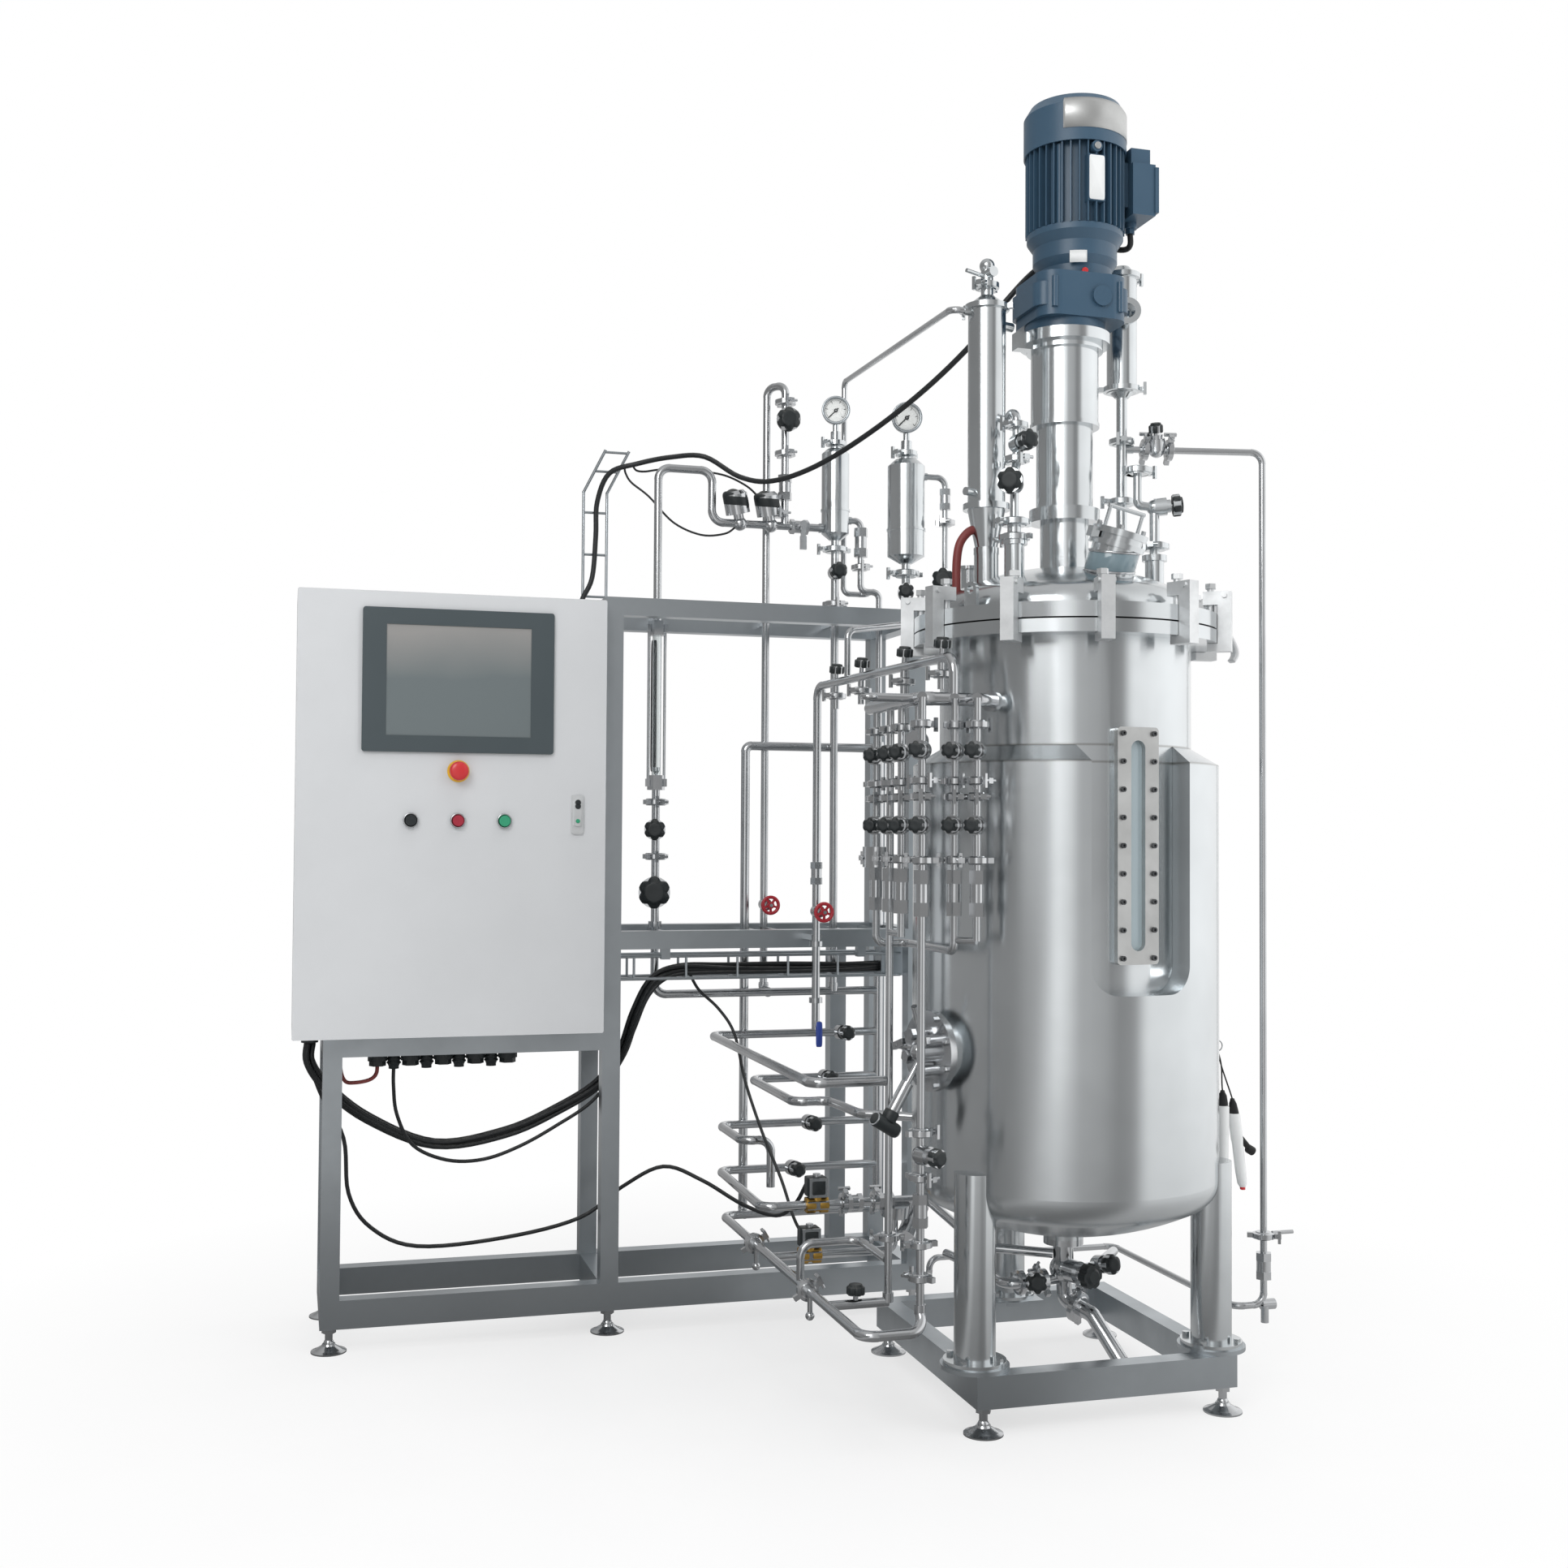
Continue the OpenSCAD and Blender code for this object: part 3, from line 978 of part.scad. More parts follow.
// Air and exhaust lines over the rack
loop_y = rack_my + 2 * line_r + 2;
tall_x = 1016;
tall_y = loop_y + 2 * line_r + 2;
loop_x = 872;
over_x = 1050;
air_z = 1830;
loop_top = 1306;
top_run = 725;
high_z = 2168;
loop_z = 1951;
vent_top = 2200;
module air_line() color(steel) {
    pipe([[meter[0], rack_my, meter_top], [meter[0], rack_my, loop_z], [loop_x, rack_my, loop_z],
        [loop_x, rack_my, air_z], [filter_a[0] - filter_a_r - stub, rack_my, air_z]]);
    pipe([[tall_x, tall_y, top_run + 20], [tall_x, tall_y, high_z], [over_x, rack_my, high_z],
        [over_x, rack_my, air_z]], r = line_r - under, bend_r = 22);
    clamp([over_x, rack_my, high_z - 42], turn = 100, r = 20);
    clamp([over_x, rack_my, high_z - 165], turn = 100, r = 20);
    valve([over_x, rack_my, high_z - 92], [-0.1, -1, 0], knob_r * 1.15);
    union_body([over_x, rack_my, high_z - 246]);
    clamp([over_x - 14, rack_my, air_z + 28], turn = 100, r = 18);
    for (x = [940, 1016]) {
        sphere_at([x, rack_my, air_z], 17);
        aim([x, rack_my, air_z], [-0.25, -0.2, 1]) {
            cylinder(r = 12, h = 30);
            translate([0, 0, 24]) cylinder(r = 29, h = 46);
            translate([0, 0, 70]) cylinder(r1 = 29, r2 = 22, h = 8);
        }
    }
    aim([1085, rack_my, air_z], [1, 0, 0]) translate([0, 0, -22]) {
        cylinder(r = 18, h = 10, $fn = 6);
        translate([0, 0, 9]) cylinder(r = 15, h = 26);
        translate([0, 0, 34]) cylinder(r = 18, h = 10, $fn = 6);
    }
    aim([1085, rack_my, air_z], [0, -1, 0]) cylinder(r = 6, h = lever_off);
    out_x = filter_a[0] + filter_a_r;
    pipe([[out_x + stub, rack_my, air_z + 22], [out_x + 32, rack_my, air_z + 22],
        [out_x + 32, rack_my, air_z - 148], [out_x + 79, rack_my, air_z - 148],
        [out_x + 79, rack_my, loop_top + 14]], r = small_r + 1, bend_r = 16);
    union_body([out_x + 32, rack_my, air_z - 30], h = 70);
    clamp([out_x + 32, rack_my, air_z - 90], turn = 100, r = 18);
    vent_x = filter_a[0] + filter_a_r + 4;
    vent = exhaust + [-condenser_r - vent_stub, 0, vent_z];
    vent_y = rack_my + 48;
    pipe([vent, vent - [26, 0, 0], [vent_x, vent_y, vent_top], [vent_x, vent_y, air_z - 148],
        [out_x + 60, vent_y, air_z - 148], [out_x + 60, rack_my, air_z - 148]], r = small_r, bend_r = 16);
    pipe([filter_a + [0, 0, -60], [filter_a[0], rack_my, top_run + 20]]);
    valve(filter_a + [0, 0, -94], [-0.1, -1, 0], knob_r * 0.8);
    clamp(filter_a + [0, 0, -170], turn = 100);
    for (x = [meter[0], tall_x, filter_a[0]]) saddle(x, rack_top - tube / 2);
    for (x = [tall_x, filter_a[0]]) saddle(x, mid_z - tube / 2);
    aim([tall_x, tall_y, 930], [0, -1, 0]) wheel_stem();
}
module sphere_at(p, r) translate(p) sphere(r = r);
lever_off = 34;
lever_len = 60;
module air_lever() color(dark_steel) aim([1085, rack_my - lever_off - free_gap, air_z], [0, -1, 0]) {
    cylinder(r = 9, h = 8);
    translate([0, -6, 2]) cube([lever_len - 2, 12, 4]);
    translate([lever_len - 32, -7.5, 0.5]) cube([32, 15, 7]);
}

// Valve manifold beside the vessel: six risers with clamps, valves and check valves on common headers
man_low = 905;
small_f = 17;
side_face = [-0.55, -0.83, 0];
risers = [[riser_x, -560], [riser_x, -640], [riser_x, -705], [riser_x - 6, front_y],
    [riser_x + 64, front_y + 16], [riser_x + 95, front_y - 16]];
head_z = 1430;
head_b = riser_x + 39.5;
module riser(p, low) {
    rod([p[0], p[1], low], [p[0], p[1], man_top], small_r + 1);
    for (z = [1300, 1197, 1168, 1052]) clamp([p[0], p[1], z], r = small_f, turn = z);
    valve([p[0], p[1], 1252], side_face, knob_r * 0.6);
    valve([p[0], p[1], 1116], side_face, knob_r * 0.6);
    union_body([p[0], p[1], 992], r = 15, h = 84);
}
module manifold() color(steel) {
    for (k = [0, 2, 4, 5]) riser(risers[k], man_low);
    riser(risers[1], low_z + 18);
    riser(risers[3], low_z + 45);
    clamp([risers[1][0], risers[1][1], 330], r = small_f);
    for (z = [300, 360, 480, 560]) clamp([risers[3][0], front_y, z], r = small_f, turn = z);
    valve([risers[3][0], front_y, 520], [0.4, -1, 0], knob_r * 0.7);
    union_body([risers[3][0], front_y, 420], r = 15, h = 60);
    pipe([[riser_x, risers[0][1] + 40, man_top], [riser_x, risers[2][1] - 30, man_top]], r = 13);
    pipe([[riser_x, risers[2][1] - 29, man_top], [riser_x, head_y, man_top], [inlet_x, head_y, man_top],
        around(inlet_face, inlet_turn, man_top)], r = 13 - under, bend_r = 26);
    rod([riser_x - 98, head_y, man_top], [riser_x, head_y, man_top], 8);
    for (k = [3:5]) rod([risers[k][0], risers[k][1], man_top], [risers[k][0], head_y, man_top], 10);
    translate(around(inlet_face, inlet_turn, man_top)) rotate([90, 0, inlet_turn]) cylinder(r = 20, h = 6);
    translate([riser_x - 98, head_y, man_top]) rotate_extrude() translate([12, 0]) circle(r = 4.5);
    pipe([[riser_x + 30, -60, 660], [riser_x + 30, -60, head_z], [riser_x + 67, head_y, head_z],
        [riser_x + 67, head_y, man_top]], r = small_r + 2.5, bend_r = 30);
    for (p = [[riser_x + 36, -180], [riser_x + 44, -330], [riser_x + 54, -565], [riser_x + 64, -744]]) {
        rod([p[0], p[1], head_z], [p[0], p[1], head_z - 58], 7);
        clamp([p[0], p[1], head_z - 30], r = small_f, turn = 40);
        translate([p[0], p[1], head_z]) aim([0, 0, 0], [0, -0.2, 1]) knob(knob_r * 0.6, 16, 20);
    }
    pipe([[risers[0][0], risers[0][1], man_low], [risers[0][0], risers[0][1], man_low - 20],
        [risers[4][0], risers[0][1], man_low - 20], [risers[4][0], risers[4][1], man_low - 20],
        [risers[4][0], risers[4][1], man_low]], r = small_r + 1, bend_r = 18);
    rod([risers[5][0], risers[5][1], man_low], [risers[4][0], risers[4][1], man_low], small_r);
    rod([risers[2][0], risers[2][1], man_low + 6], [risers[1][0], risers[1][1], man_low + 6], small_r);
    translate([riser_x, risers[0][1], 1034]) cylinder(r = 27, h = 40);
    rod([riser_x + 8, -768, man_top], [riser_x + 8, -768, 1286], 5);
    aim([riser_x + 8, -768, 1272], side_face) translate([0, 0, -8]) cylinder(r = 20, h = 18);
    aim([riser_x + 30, -60, 925], [0, -1, 0]) wheel_stem();
    foot_b = filter_b + [0, 0, -60];
    turn_b = foot_b + [0, 0, -90];
    join_z = turn_b[2] + 36;
    by_x = filter_b[0] + 92;
    by_y = filter_b[1];
    pipe([foot_b, turn_b, [head_b, by_y - 50, turn_b[2] - 24], [head_b, by_y - 50, head_z]],
        r = small_r + 0.5, bend_r = 20);
    valve(foot_b + [0, 0, -22], [-0.35, -1, 0], knob_r * 0.7);
    pipe([[filter_b[0] + filter_b_r + stub, by_y, bypass_z], [by_x, by_y, bypass_z],
        [by_x, by_y, join_z], [filter_b[0], by_y, join_z]], r = small_r, bend_r = 20);
    union_body([by_x, by_y, bypass_z - 48], r = 13, h = 46);
    clamp([by_x, by_y, bypass_z - 100], r = small_f, turn = 60);
    valve([by_x, by_y, foot_b[2] + 8], [-0.5, -1, 0], knob_r);
    union_body([riser_x + 30, -60, 1010], r = 14, h = 50);
    translate([riser_x + 30, -60, 720]) cylinder(r = 15, h = 12);
    translate([riser_x + 30, -60, 846]) cylinder(r = 15, h = 12);
    translate([riser_x + 18, -64, mid_z - tube / 2]) cube([24, 64, 12]);
}
module wheel_stem() {
    cylinder(r = 14, h = 24);
    cylinder(r = 8, h = wheel_off - 6);
    cylinder(r = 4, h = wheel_off + 12);
}
wheel_r = 23;
module handwheel() {
    rotate_extrude() translate([wheel_r - 4, 4]) circle(r = 4, $fn = 24);
    difference() {
        union() {
            cylinder(r = 8, h = 10);
            for (k = [0:4]) rotate(72 * k) translate([0, -2.5, 2]) cube([wheel_r - 4, 5, 5]);
        }
        translate([0, 0, -1]) cylinder(r = 4 + run_gap, h = 12);
    }
}
wheel_off = 56;
wheel_a = [tall_x, tall_y - wheel_off, 930];
wheel_b = [riser_x + 30, -60 - wheel_off, 925];
module handwheel_a() color(red) aim(wheel_a, [0, -1, 0]) handwheel();
module handwheel_b() color(red) aim(wheel_b, [0, -1, 0]) handwheel();

// Steam, water and drain lines at the foot of the rack, which reach forward to the vessel's skid
back_x = 1290;
left_x = 905;
low_z = 207;
step_z = 105;
tier = [for (k = [0:4]) low_z + k * step_z];
brass_x = 1012;
branch_y = -250;
module solenoid(p) {
    translate(p) {
        rotate([0, 90, 0]) cylinder(r = 17, h = 46, center = true, $fn = 6);
        cylinder(r = 12, h = 22);
        translate([-20, -18, 18]) cube([40, 36, 40]);
        cylinder(r = 8, h = 66);
    }
}
module utility_lines() color(steel) {
    pipe([[meter[0], rack_my, mid_z], [meter[0], rack_my, top_run],
        [back_x, rack_my, top_run]]);
    pipe([[back_x, rack_my, tier[4]], [left_x - 25, rack_my, tier[4]],
        [left_x - 25, risers[1][1], tier[4]], [riser_x - small_r - 1, risers[1][1], tier[4]]]);
    pipe([[back_x, rack_my, tier[3]], [left_x + 72, rack_my, tier[3]],
        [left_x + 72, -196, tier[3]], [left_x + 150, -196, tier[3]],
        around(jacket_r + 120, -125, tier[3]), around(jacket_r, -125, tier[3])]);
    pipe([[back_x, rack_my, tier[2]], [left_x - 4, rack_my, tier[2]],
        [left_x - 4, -48, tier[2]], [left_x + 62, -48, tier[2]],
        [left_x + 62, -48, tier[1]]]);
    pipe([[back_x, rack_my, tier[1]], [left_x - 4, rack_my, tier[1]],
        [left_x - 12, branch_y, tier[1]], [vx - 150, branch_y, tier[1]],
        [vx - 150, vy + 60, tier[1] - 32], [vx - 21, vy + 4, tier[1] - 40]]);
    pipe([[back_x, rack_my, low_z], [left_x + 6, rack_my, low_z], [left_x + 9, front_y - 22, low_z],
        [riser_x - 6, front_y - 20, low_z], [riser_x - 6, front_y, low_z + 30]]);
    rod([riser_x - 6, front_y, low_z + 28], [riser_x - 6, front_y, low_z + 45], line_r + 1);
    pipe([[left_x + 8, branch_y, low_z], [riser_x + 150, branch_y, low_z],
        [riser_x + 150, branch_y, tier[1]]], r = line_r - under, bend_r = 20);
    rod([left_x + 8, risers[1][1], low_z], [riser_x, risers[1][1], low_z], line_r - under);
    rod([riser_x, risers[1][1], low_z], [riser_x, risers[1][1], low_z + 18], line_r + 1);
    pipe([[left_x + 8, -466, low_z], [left_x + 8, -466, low_z + 78], [riser_x, -466, low_z + 78],
        [riser_x, risers[1][1] + small_r + 1, low_z + 78]], r = line_r - 1.5);
    rod([back_x, rack_my, low_z], [back_x, rack_my, loop_top + 14], line_r + 1.5);
    pipe([[back_x, rack_my, loop_top], [back_x, loop_y, loop_top], [left_x + 58, loop_y, loop_top],
        [left_x + 58, loop_y, low_z], [left_x + 58, rack_my, low_z]], r = line_r + 1, bend_r = 14);
    solenoid([brass_x, branch_y, tier[1]]);
    solenoid([brass_x - 15, branch_y, low_z]);
    for (x = [brass_x + 60, brass_x + 130]) aim([x, branch_y, tier[1]], [1, 0, 0]) {
        clamp([0, 0, 0], r = small_f, turn = 30);
        translate([0, 0, 24]) union_body([0, 0, 0], r = 19, h = 34);
    }
    translate([brass_x + 176, branch_y, tier[1] - 30]) rotate([12, 0, 0]) cylinder(r = 31, h = 26);
    translate([brass_x + 196, branch_y - 16, low_z + 30]) rotate([-30, 40, 0]) cylinder(r = 21, h = 84);
    for (k = [0:3]) valve([left_x + 170 + 40 * k, rack_my, tier[k + 1]], [0.1, -1, 0.05],
        knob_r * 0.7);
    for (p = [[left_x + 6, -120], [left_x + 7, -520]]) translate([p[0], p[1], low_z]) {
        clamp([0, 0, 0], axis = [0, 1, 0], r = small_f, turn = 60);
        translate([0, -16, -44]) cylinder(r = 5, h = 44);
        translate([0, -16, -46]) sphere(r = 9);
    }
    translate([left_x + 66, risers[1][1], low_z + 8]) knob(knob_r * 0.7, 14, 10);
    rod([filter_a[0], rack_my, top_run], [filter_a[0], rack_my, top_run + 20], line_r + 2);
    pipe([[tall_x, rack_my, top_run], [tall_x, tall_y, top_run], [tall_x, tall_y, top_run + 20]],
        r = line_r + 2, bend_r = 16);
    for (x = [meter[0], left_x + 58, back_x - 20]) saddle(x, mid_z - tube / 2);
}

// Condensate return from the side condenser down to the floor at the vessel's right
return_low = 135;
module return_line() color(steel) {
    x = return_x;
    y = return_y;
    start = side + side_stub * take + [0, 0, side_take];
    pipe([start, [x, y, start[2]], [x, y, return_low], [x - 70, y, return_low],
        [x - 70, -60, return_low], [rack_len - 8, -60, return_low], [rack_len - 8, -60, return_low - 50],
        [rack_len - 8, 0, return_low - 50]], r = small_r + 0.5, bend_r = 24);
    clamp([x, y, 276], r = small_f + 1, turn = 150);
    translate([x + 20, y, 280]) rotate([0, 90, 0]) cylinder(r = 4, h = return_lever - 20);
    union_body([x, y, 214], r = 17, h = 54);
    aim([x - 6, y, return_low], [1, 0, 0]) cylinder(r = 11, h = 30);
    translate([x, y - 4, return_low - 36]) cylinder(r = 8, h = 34);
    for (d = [24, 76]) clamp(start + d * take, axis = take, r = small_f, turn = 40);
    valve(start + 50 * take, [-0.2, -0.3, 1], knob_r * 0.6);
}

// Bottom outlet: flanged valve, tee and bent drain pipe
drain_top = outlet_z - 70;
drain_z = drain_top - 62;
drain_face = [0.35, -1, 0];
module drain_line() color(steel) {
    translate([vx, vy, drain_z]) {
        translate([0, 0, 50]) cylinder(r = outlet_r + 14, h = 12);
        cylinder(r = 20, h = 52);
        sphere(r = 27);
        aim([0, 0, 0], drain_face) {
            cylinder(r = 22, h = 44);
            translate([0, 0, 42]) cylinder(r = 16, h = 16);
        }
    }
    pipe([[vx, vy, drain_z], [vx + 3, vy, drain_z - 60], [vx + 34, vy - 60, drain_z - 78],
        [vx + 60, vy - 130, drain_z - 150]], r = 15, bend_r = 18);
    pipe([[vx - 6, vy, drain_z - 20], [vx - 130, vy - 20, drain_z - 20], [vx - 130, vy + 120, drain_z - 20],
        [vx - 150, vy + 250, drain_z - 20]], r = line_r);
    for (x = [-48, -96]) clamp([vx + x, vy - 6, drain_z - 20], axis = [1, 0.1, 0], r = 19, turn = x);
    valve([vx - 72, vy - 10, drain_z - 20], [-0.2, -1, 0.2], knob_r * 0.8);
    clamp([vx + 17, vy - 30, drain_z - 69], axis = [34, -60, -18], turn = 20);
    pipe([[vx + 10, vy + 6, drain_z - 10], [vx + 90, vy + 40, drain_z - 10],
        [vx + 200, vy + 180, drain_z - 20]], r = line_r);
    valve([vx + 100, vy + 52, drain_z - 10], [0.2, -1, 0.2], knob_r * 0.8);
}
module drain_knob() color(black) aim([vx, vy, drain_z], drain_face)
    translate([0, 0, 58 + free_gap]) knob(knob_r, 18, 6);

// Side port on the jacket: blind flange with a probe, a sampling valve and small fittings
port_face = jacket_r + 18;
module side_port() color(steel) at_port() translate([0, 0, port_face]) {
    cylinder(r = port_r + 16, h = 14);
    for (k = [0:7]) rotate(k * 45 + 22) translate([port_r + 7, 0, 13]) cylinder(r = 6, h = 8, $fn = 6);
    cylinder(r = 22, h = 36);
    translate([0, 0, 34]) sphere(r = 17);
    for (a = [40:80:320]) rotate(a) translate([36, 0, 13]) {
        cylinder(r = 10, h = 22);
        translate([0, 0, 20]) cylinder(r = 12, h = 10, $fn = 6);
    }
    aim([0, -6, 26], [-0.1, -0.95, 0.55]) {
        cylinder(r = 6, h = 80);
        translate([0, 0, 60]) cylinder(r = 12, h = 64);
        translate([0, 0, 120]) cylinder(r = 14, h = 18);
        translate([-30, 0, 148]) rotate([0, 90, 0]) cylinder(r = 13, h = 60);
        translate([0, 0, 134]) cylinder(r = 11, h = 18);
    }
    aim([0, 10, 24], [0.3, 0.9, 0.45]) cylinder(r = 6, h = 92);
    aim([-20, 4, 26], [-0.9, 0.1, 0.5]) cylinder(r = 7, h = 40);
    translate([-48, 10, 46]) rotate([0, 0, 20]) cube([34, 14, 8], center = true);
}

module placed() translate(-middle()) children();
placed() rack_frame();
placed() levelling_feet();
placed() vessel_base();
placed() vessel_legs();
placed() vessel_shell();
placed() jacket();
placed() window_frame();
placed() window_glass();
placed() window_bolts();
placed() baffles();
placed() sparger();
placed() agitator();
placed() lid();
placed() lid_gasket();
placed() lid_clamps();
placed() shaft_seal();
placed() lantern();
placed() gear_unit();
placed() motor_body();
placed() fan_cowl();
placed() motor_fan();
placed() terminal_box();
placed() sight_port();
placed() exhaust_condenser();
placed() side_condenser();
placed() filter_housing_a();
placed() filter_housing_b();
placed() filter_cartridges();
placed() pressure_gauges();
placed() gauge_pointer_a();
placed() gauge_pointer_b();
placed() rotameter();
placed() rotameter_tube();
placed() rotameter_float();
placed() cabinet_body();
placed() cabinet_door();
placed() mounting_plate();
placed() touch_panel();
placed() panel_screen();
placed() emergency_stop();
placed() button_black();
placed() button_red();
placed() button_green();
placed() door_latch();
placed() cable_glands();
placed() cable_ladder();
placed() motor_cable();
placed() cabinet_loom();
placed() floor_cable();
placed() sensor_cable();
placed() air_line();
placed() manifold();
placed() utility_lines();
placed() return_line();
placed() drain_line();
placed() side_port();
placed() handwheel_a();
placed() handwheel_b();
placed() drain_knob();
placed() air_lever();
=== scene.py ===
import math
import bpy
import numpy as np
from mathutils import Matrix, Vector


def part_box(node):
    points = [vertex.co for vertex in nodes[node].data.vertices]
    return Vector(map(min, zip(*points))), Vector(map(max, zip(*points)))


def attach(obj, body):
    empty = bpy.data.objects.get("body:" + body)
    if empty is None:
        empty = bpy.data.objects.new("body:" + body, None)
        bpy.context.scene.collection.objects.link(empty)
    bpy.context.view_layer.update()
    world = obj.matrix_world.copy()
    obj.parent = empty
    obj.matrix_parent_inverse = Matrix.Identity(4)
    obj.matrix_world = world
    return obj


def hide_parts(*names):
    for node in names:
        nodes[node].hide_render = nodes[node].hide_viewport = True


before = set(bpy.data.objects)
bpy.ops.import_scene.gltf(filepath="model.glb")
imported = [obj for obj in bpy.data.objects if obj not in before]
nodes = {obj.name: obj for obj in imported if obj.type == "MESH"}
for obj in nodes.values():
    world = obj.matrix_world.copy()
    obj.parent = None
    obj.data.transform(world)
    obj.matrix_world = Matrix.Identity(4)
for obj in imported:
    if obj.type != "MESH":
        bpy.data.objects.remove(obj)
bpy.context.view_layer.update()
print("frame loaded:", len(nodes), "nodes")

# Places below are in millimetres from the rack's front left corner on the floor, as in the part's source
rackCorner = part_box("rack_frame")[0]


# Point in the row frame, in metres
def at(x, y, z):
    return np.array([rackCorner[0] + x / 1000, rackCorner[1] + y / 1000, z / 1000])


def unit(v):
    v = np.asarray(v, float)
    return v / np.linalg.norm(v)


def unitRows(rows):
    return rows / np.linalg.norm(rows, axis=1)[:, None]


# Matrix of an object that has these three directions and stands at this place
def standing(x, y, z, place):
    return Matrix([[x[i], y[i], z[i], place[i]] for i in range(3)] + [[0, 0, 0, 1]])


# Two square directions, both turned by an angle in their own plane
def leaned(a, b, angle):
    return a * math.cos(angle) + b * math.sin(angle), b * math.cos(angle) - a * math.sin(angle)


cameraView = {"place": (-77, -3794, 1100), "turn": 15.935, "tilt": 1.617, "roll": 0.3426,  # angles in degrees
              "lens": 39.84, "sensor": 36, "reach": 60}


def makeCamera():
    turn, tilt, roll = (math.radians(cameraView[k]) for k in ("turn", "tilt", "roll"))
    ahead = np.array([math.sin(turn), math.cos(turn), 0])
    right = np.array([math.cos(turn), -math.sin(turn), 0])
    ahead, up = leaned(ahead, np.array([0, 0, 1.0]), tilt)
    right, up = leaned(right, up, roll)
    lens = bpy.data.cameras.new("camera")
    lens.lens, lens.sensor_width, lens.clip_end = (cameraView[k] for k in ("lens", "sensor", "reach"))
    camera = bpy.data.objects.new("camera", lens)
    camera.matrix_world = standing(right, up, -ahead, at(*cameraView["place"]))
    bpy.context.scene.collection.objects.link(camera)
    bpy.context.scene.camera = camera


makeCamera()
bpy.context.scene.view_settings.view_transform = "Standard"


def meshFrom(name, points, faces, smooth=True):
    mesh = bpy.data.meshes.new(name)
    mesh.from_pydata(np.asarray(points, float).tolist(), [], np.asarray(faces).tolist())
    mesh.polygons.foreach_set("use_smooth", [smooth] * len(mesh.polygons))
    mesh.update()
    piece = bpy.data.objects.new(name, mesh)
    bpy.context.scene.collection.objects.link(piece)
    return piece


# Quads between the rows of a grid. Round its columns the grid is closed, or open where asked
def gridFaces(rows, columns, closed=True):
    i, k = np.meshgrid(np.arange(rows - 1), np.arange(columns if closed else columns - 1), indexing="ij")
    n = (k + 1) % columns
    corners = [i * columns + k, i * columns + n, (i + 1) * columns + n, (i + 1) * columns + k]
    return np.stack(corners, -1).reshape(-1, 4)


# Angles of the points round a circle
def roundAngles(sides):
    return np.linspace(0, 2 * np.pi, sides, endpoint=False)


# Two directions across a facing direction: the first level, the second as near to upright as it can be
def axesFor(face):
    face = unit(face)
    across = unit(np.cross([0, 0, 1.0], face)) if abs(face[2]) < 0.95 else np.array([1.0, 0, 0])
    return across, np.cross(face, across), face


# Surface of revolution: each profile point (r, h) goes round the axis, point = place + r(cos, sin) + h along the
# face. ripple(angle, h) may scale the radius. It is closed where the profile starts and ends on the axis
def turned(profile, place, face, sides, ripple=None):
    profile = np.asarray(profile, float)
    angle = roundAngles(sides)
    across, upward, face = axesFor(face)
    radius, height = profile[:, :1], profile[:, 1:]
    r = radius * (ripple(angle[None, :], height) if ripple else np.ones((1, sides)))
    points = (place + (r * np.cos(angle))[..., None] * across + (r * np.sin(angle))[..., None] * upward
              + np.broadcast_to(height, r.shape)[..., None] * face)
    return points.reshape(-1, 3), gridFaces(len(profile), sides)


# Two directions square to a path at each of its points, the first square to the side direction too
def pathAxes(path, side):
    run = unitRows(np.gradient(path, axis=0))
    first = unitRows(np.cross(run, np.asarray(side, float)))
    return first, np.cross(run, first)


# Rings of points along a path, joined one to the next, with each end closed by a point on the path
def closedTube(path, rings):
    sides = rings.shape[1]
    start, end = (np.repeat(path[[k]], sides, 0) for k in (0, -1))
    return np.concatenate([start, rings.reshape(-1, 3), end]), gridFaces(len(path) + 2, sides)


# Tube: a circle of the radius carried along the path, square to it
def swept(path, radius, sides, side):
    path = np.asarray(path, float)
    first, second = pathAxes(path, side)
    angle = roundAngles(sides)
    ring = np.cos(angle)[:, None] * first[:, None] + np.sin(angle)[:, None] * second[:, None]
    return closedTube(path, path[:, None] + radius * ring)


# Several (points, faces) pairs as one
def joined(parts):
    points, faces, count = [], [], 0
    for p, f in parts:
        points.append(np.asarray(p, float).reshape(-1, 3))
        faces.append(np.asarray(f) + count)
        count += len(points[-1])
    return np.concatenate(points), np.concatenate(faces)


# Catmull-Rom curve through the points: each stretch is a cubic whose slope at a point is half the chord round it
def smoothRoute(points, steps):
    p = np.asarray(points, float)
    before, after = np.concatenate([p[:1], p[:-2]]), np.concatenate([p[2:], p[-1:]])
    t = (np.arange(steps) / steps)[None, :, None]
    a, b, c, d = (v[:, None] for v in (before, p[:-1], p[1:], after))
    curve = 0.5 * (2 * b + (c - a) * t + (2 * a - 5 * b + 4 * c - d) * t ** 2 + (3 * b - a - 3 * c + d) * t ** 3)
    return np.concatenate([curve.reshape(-1, 3), p[-1:]])


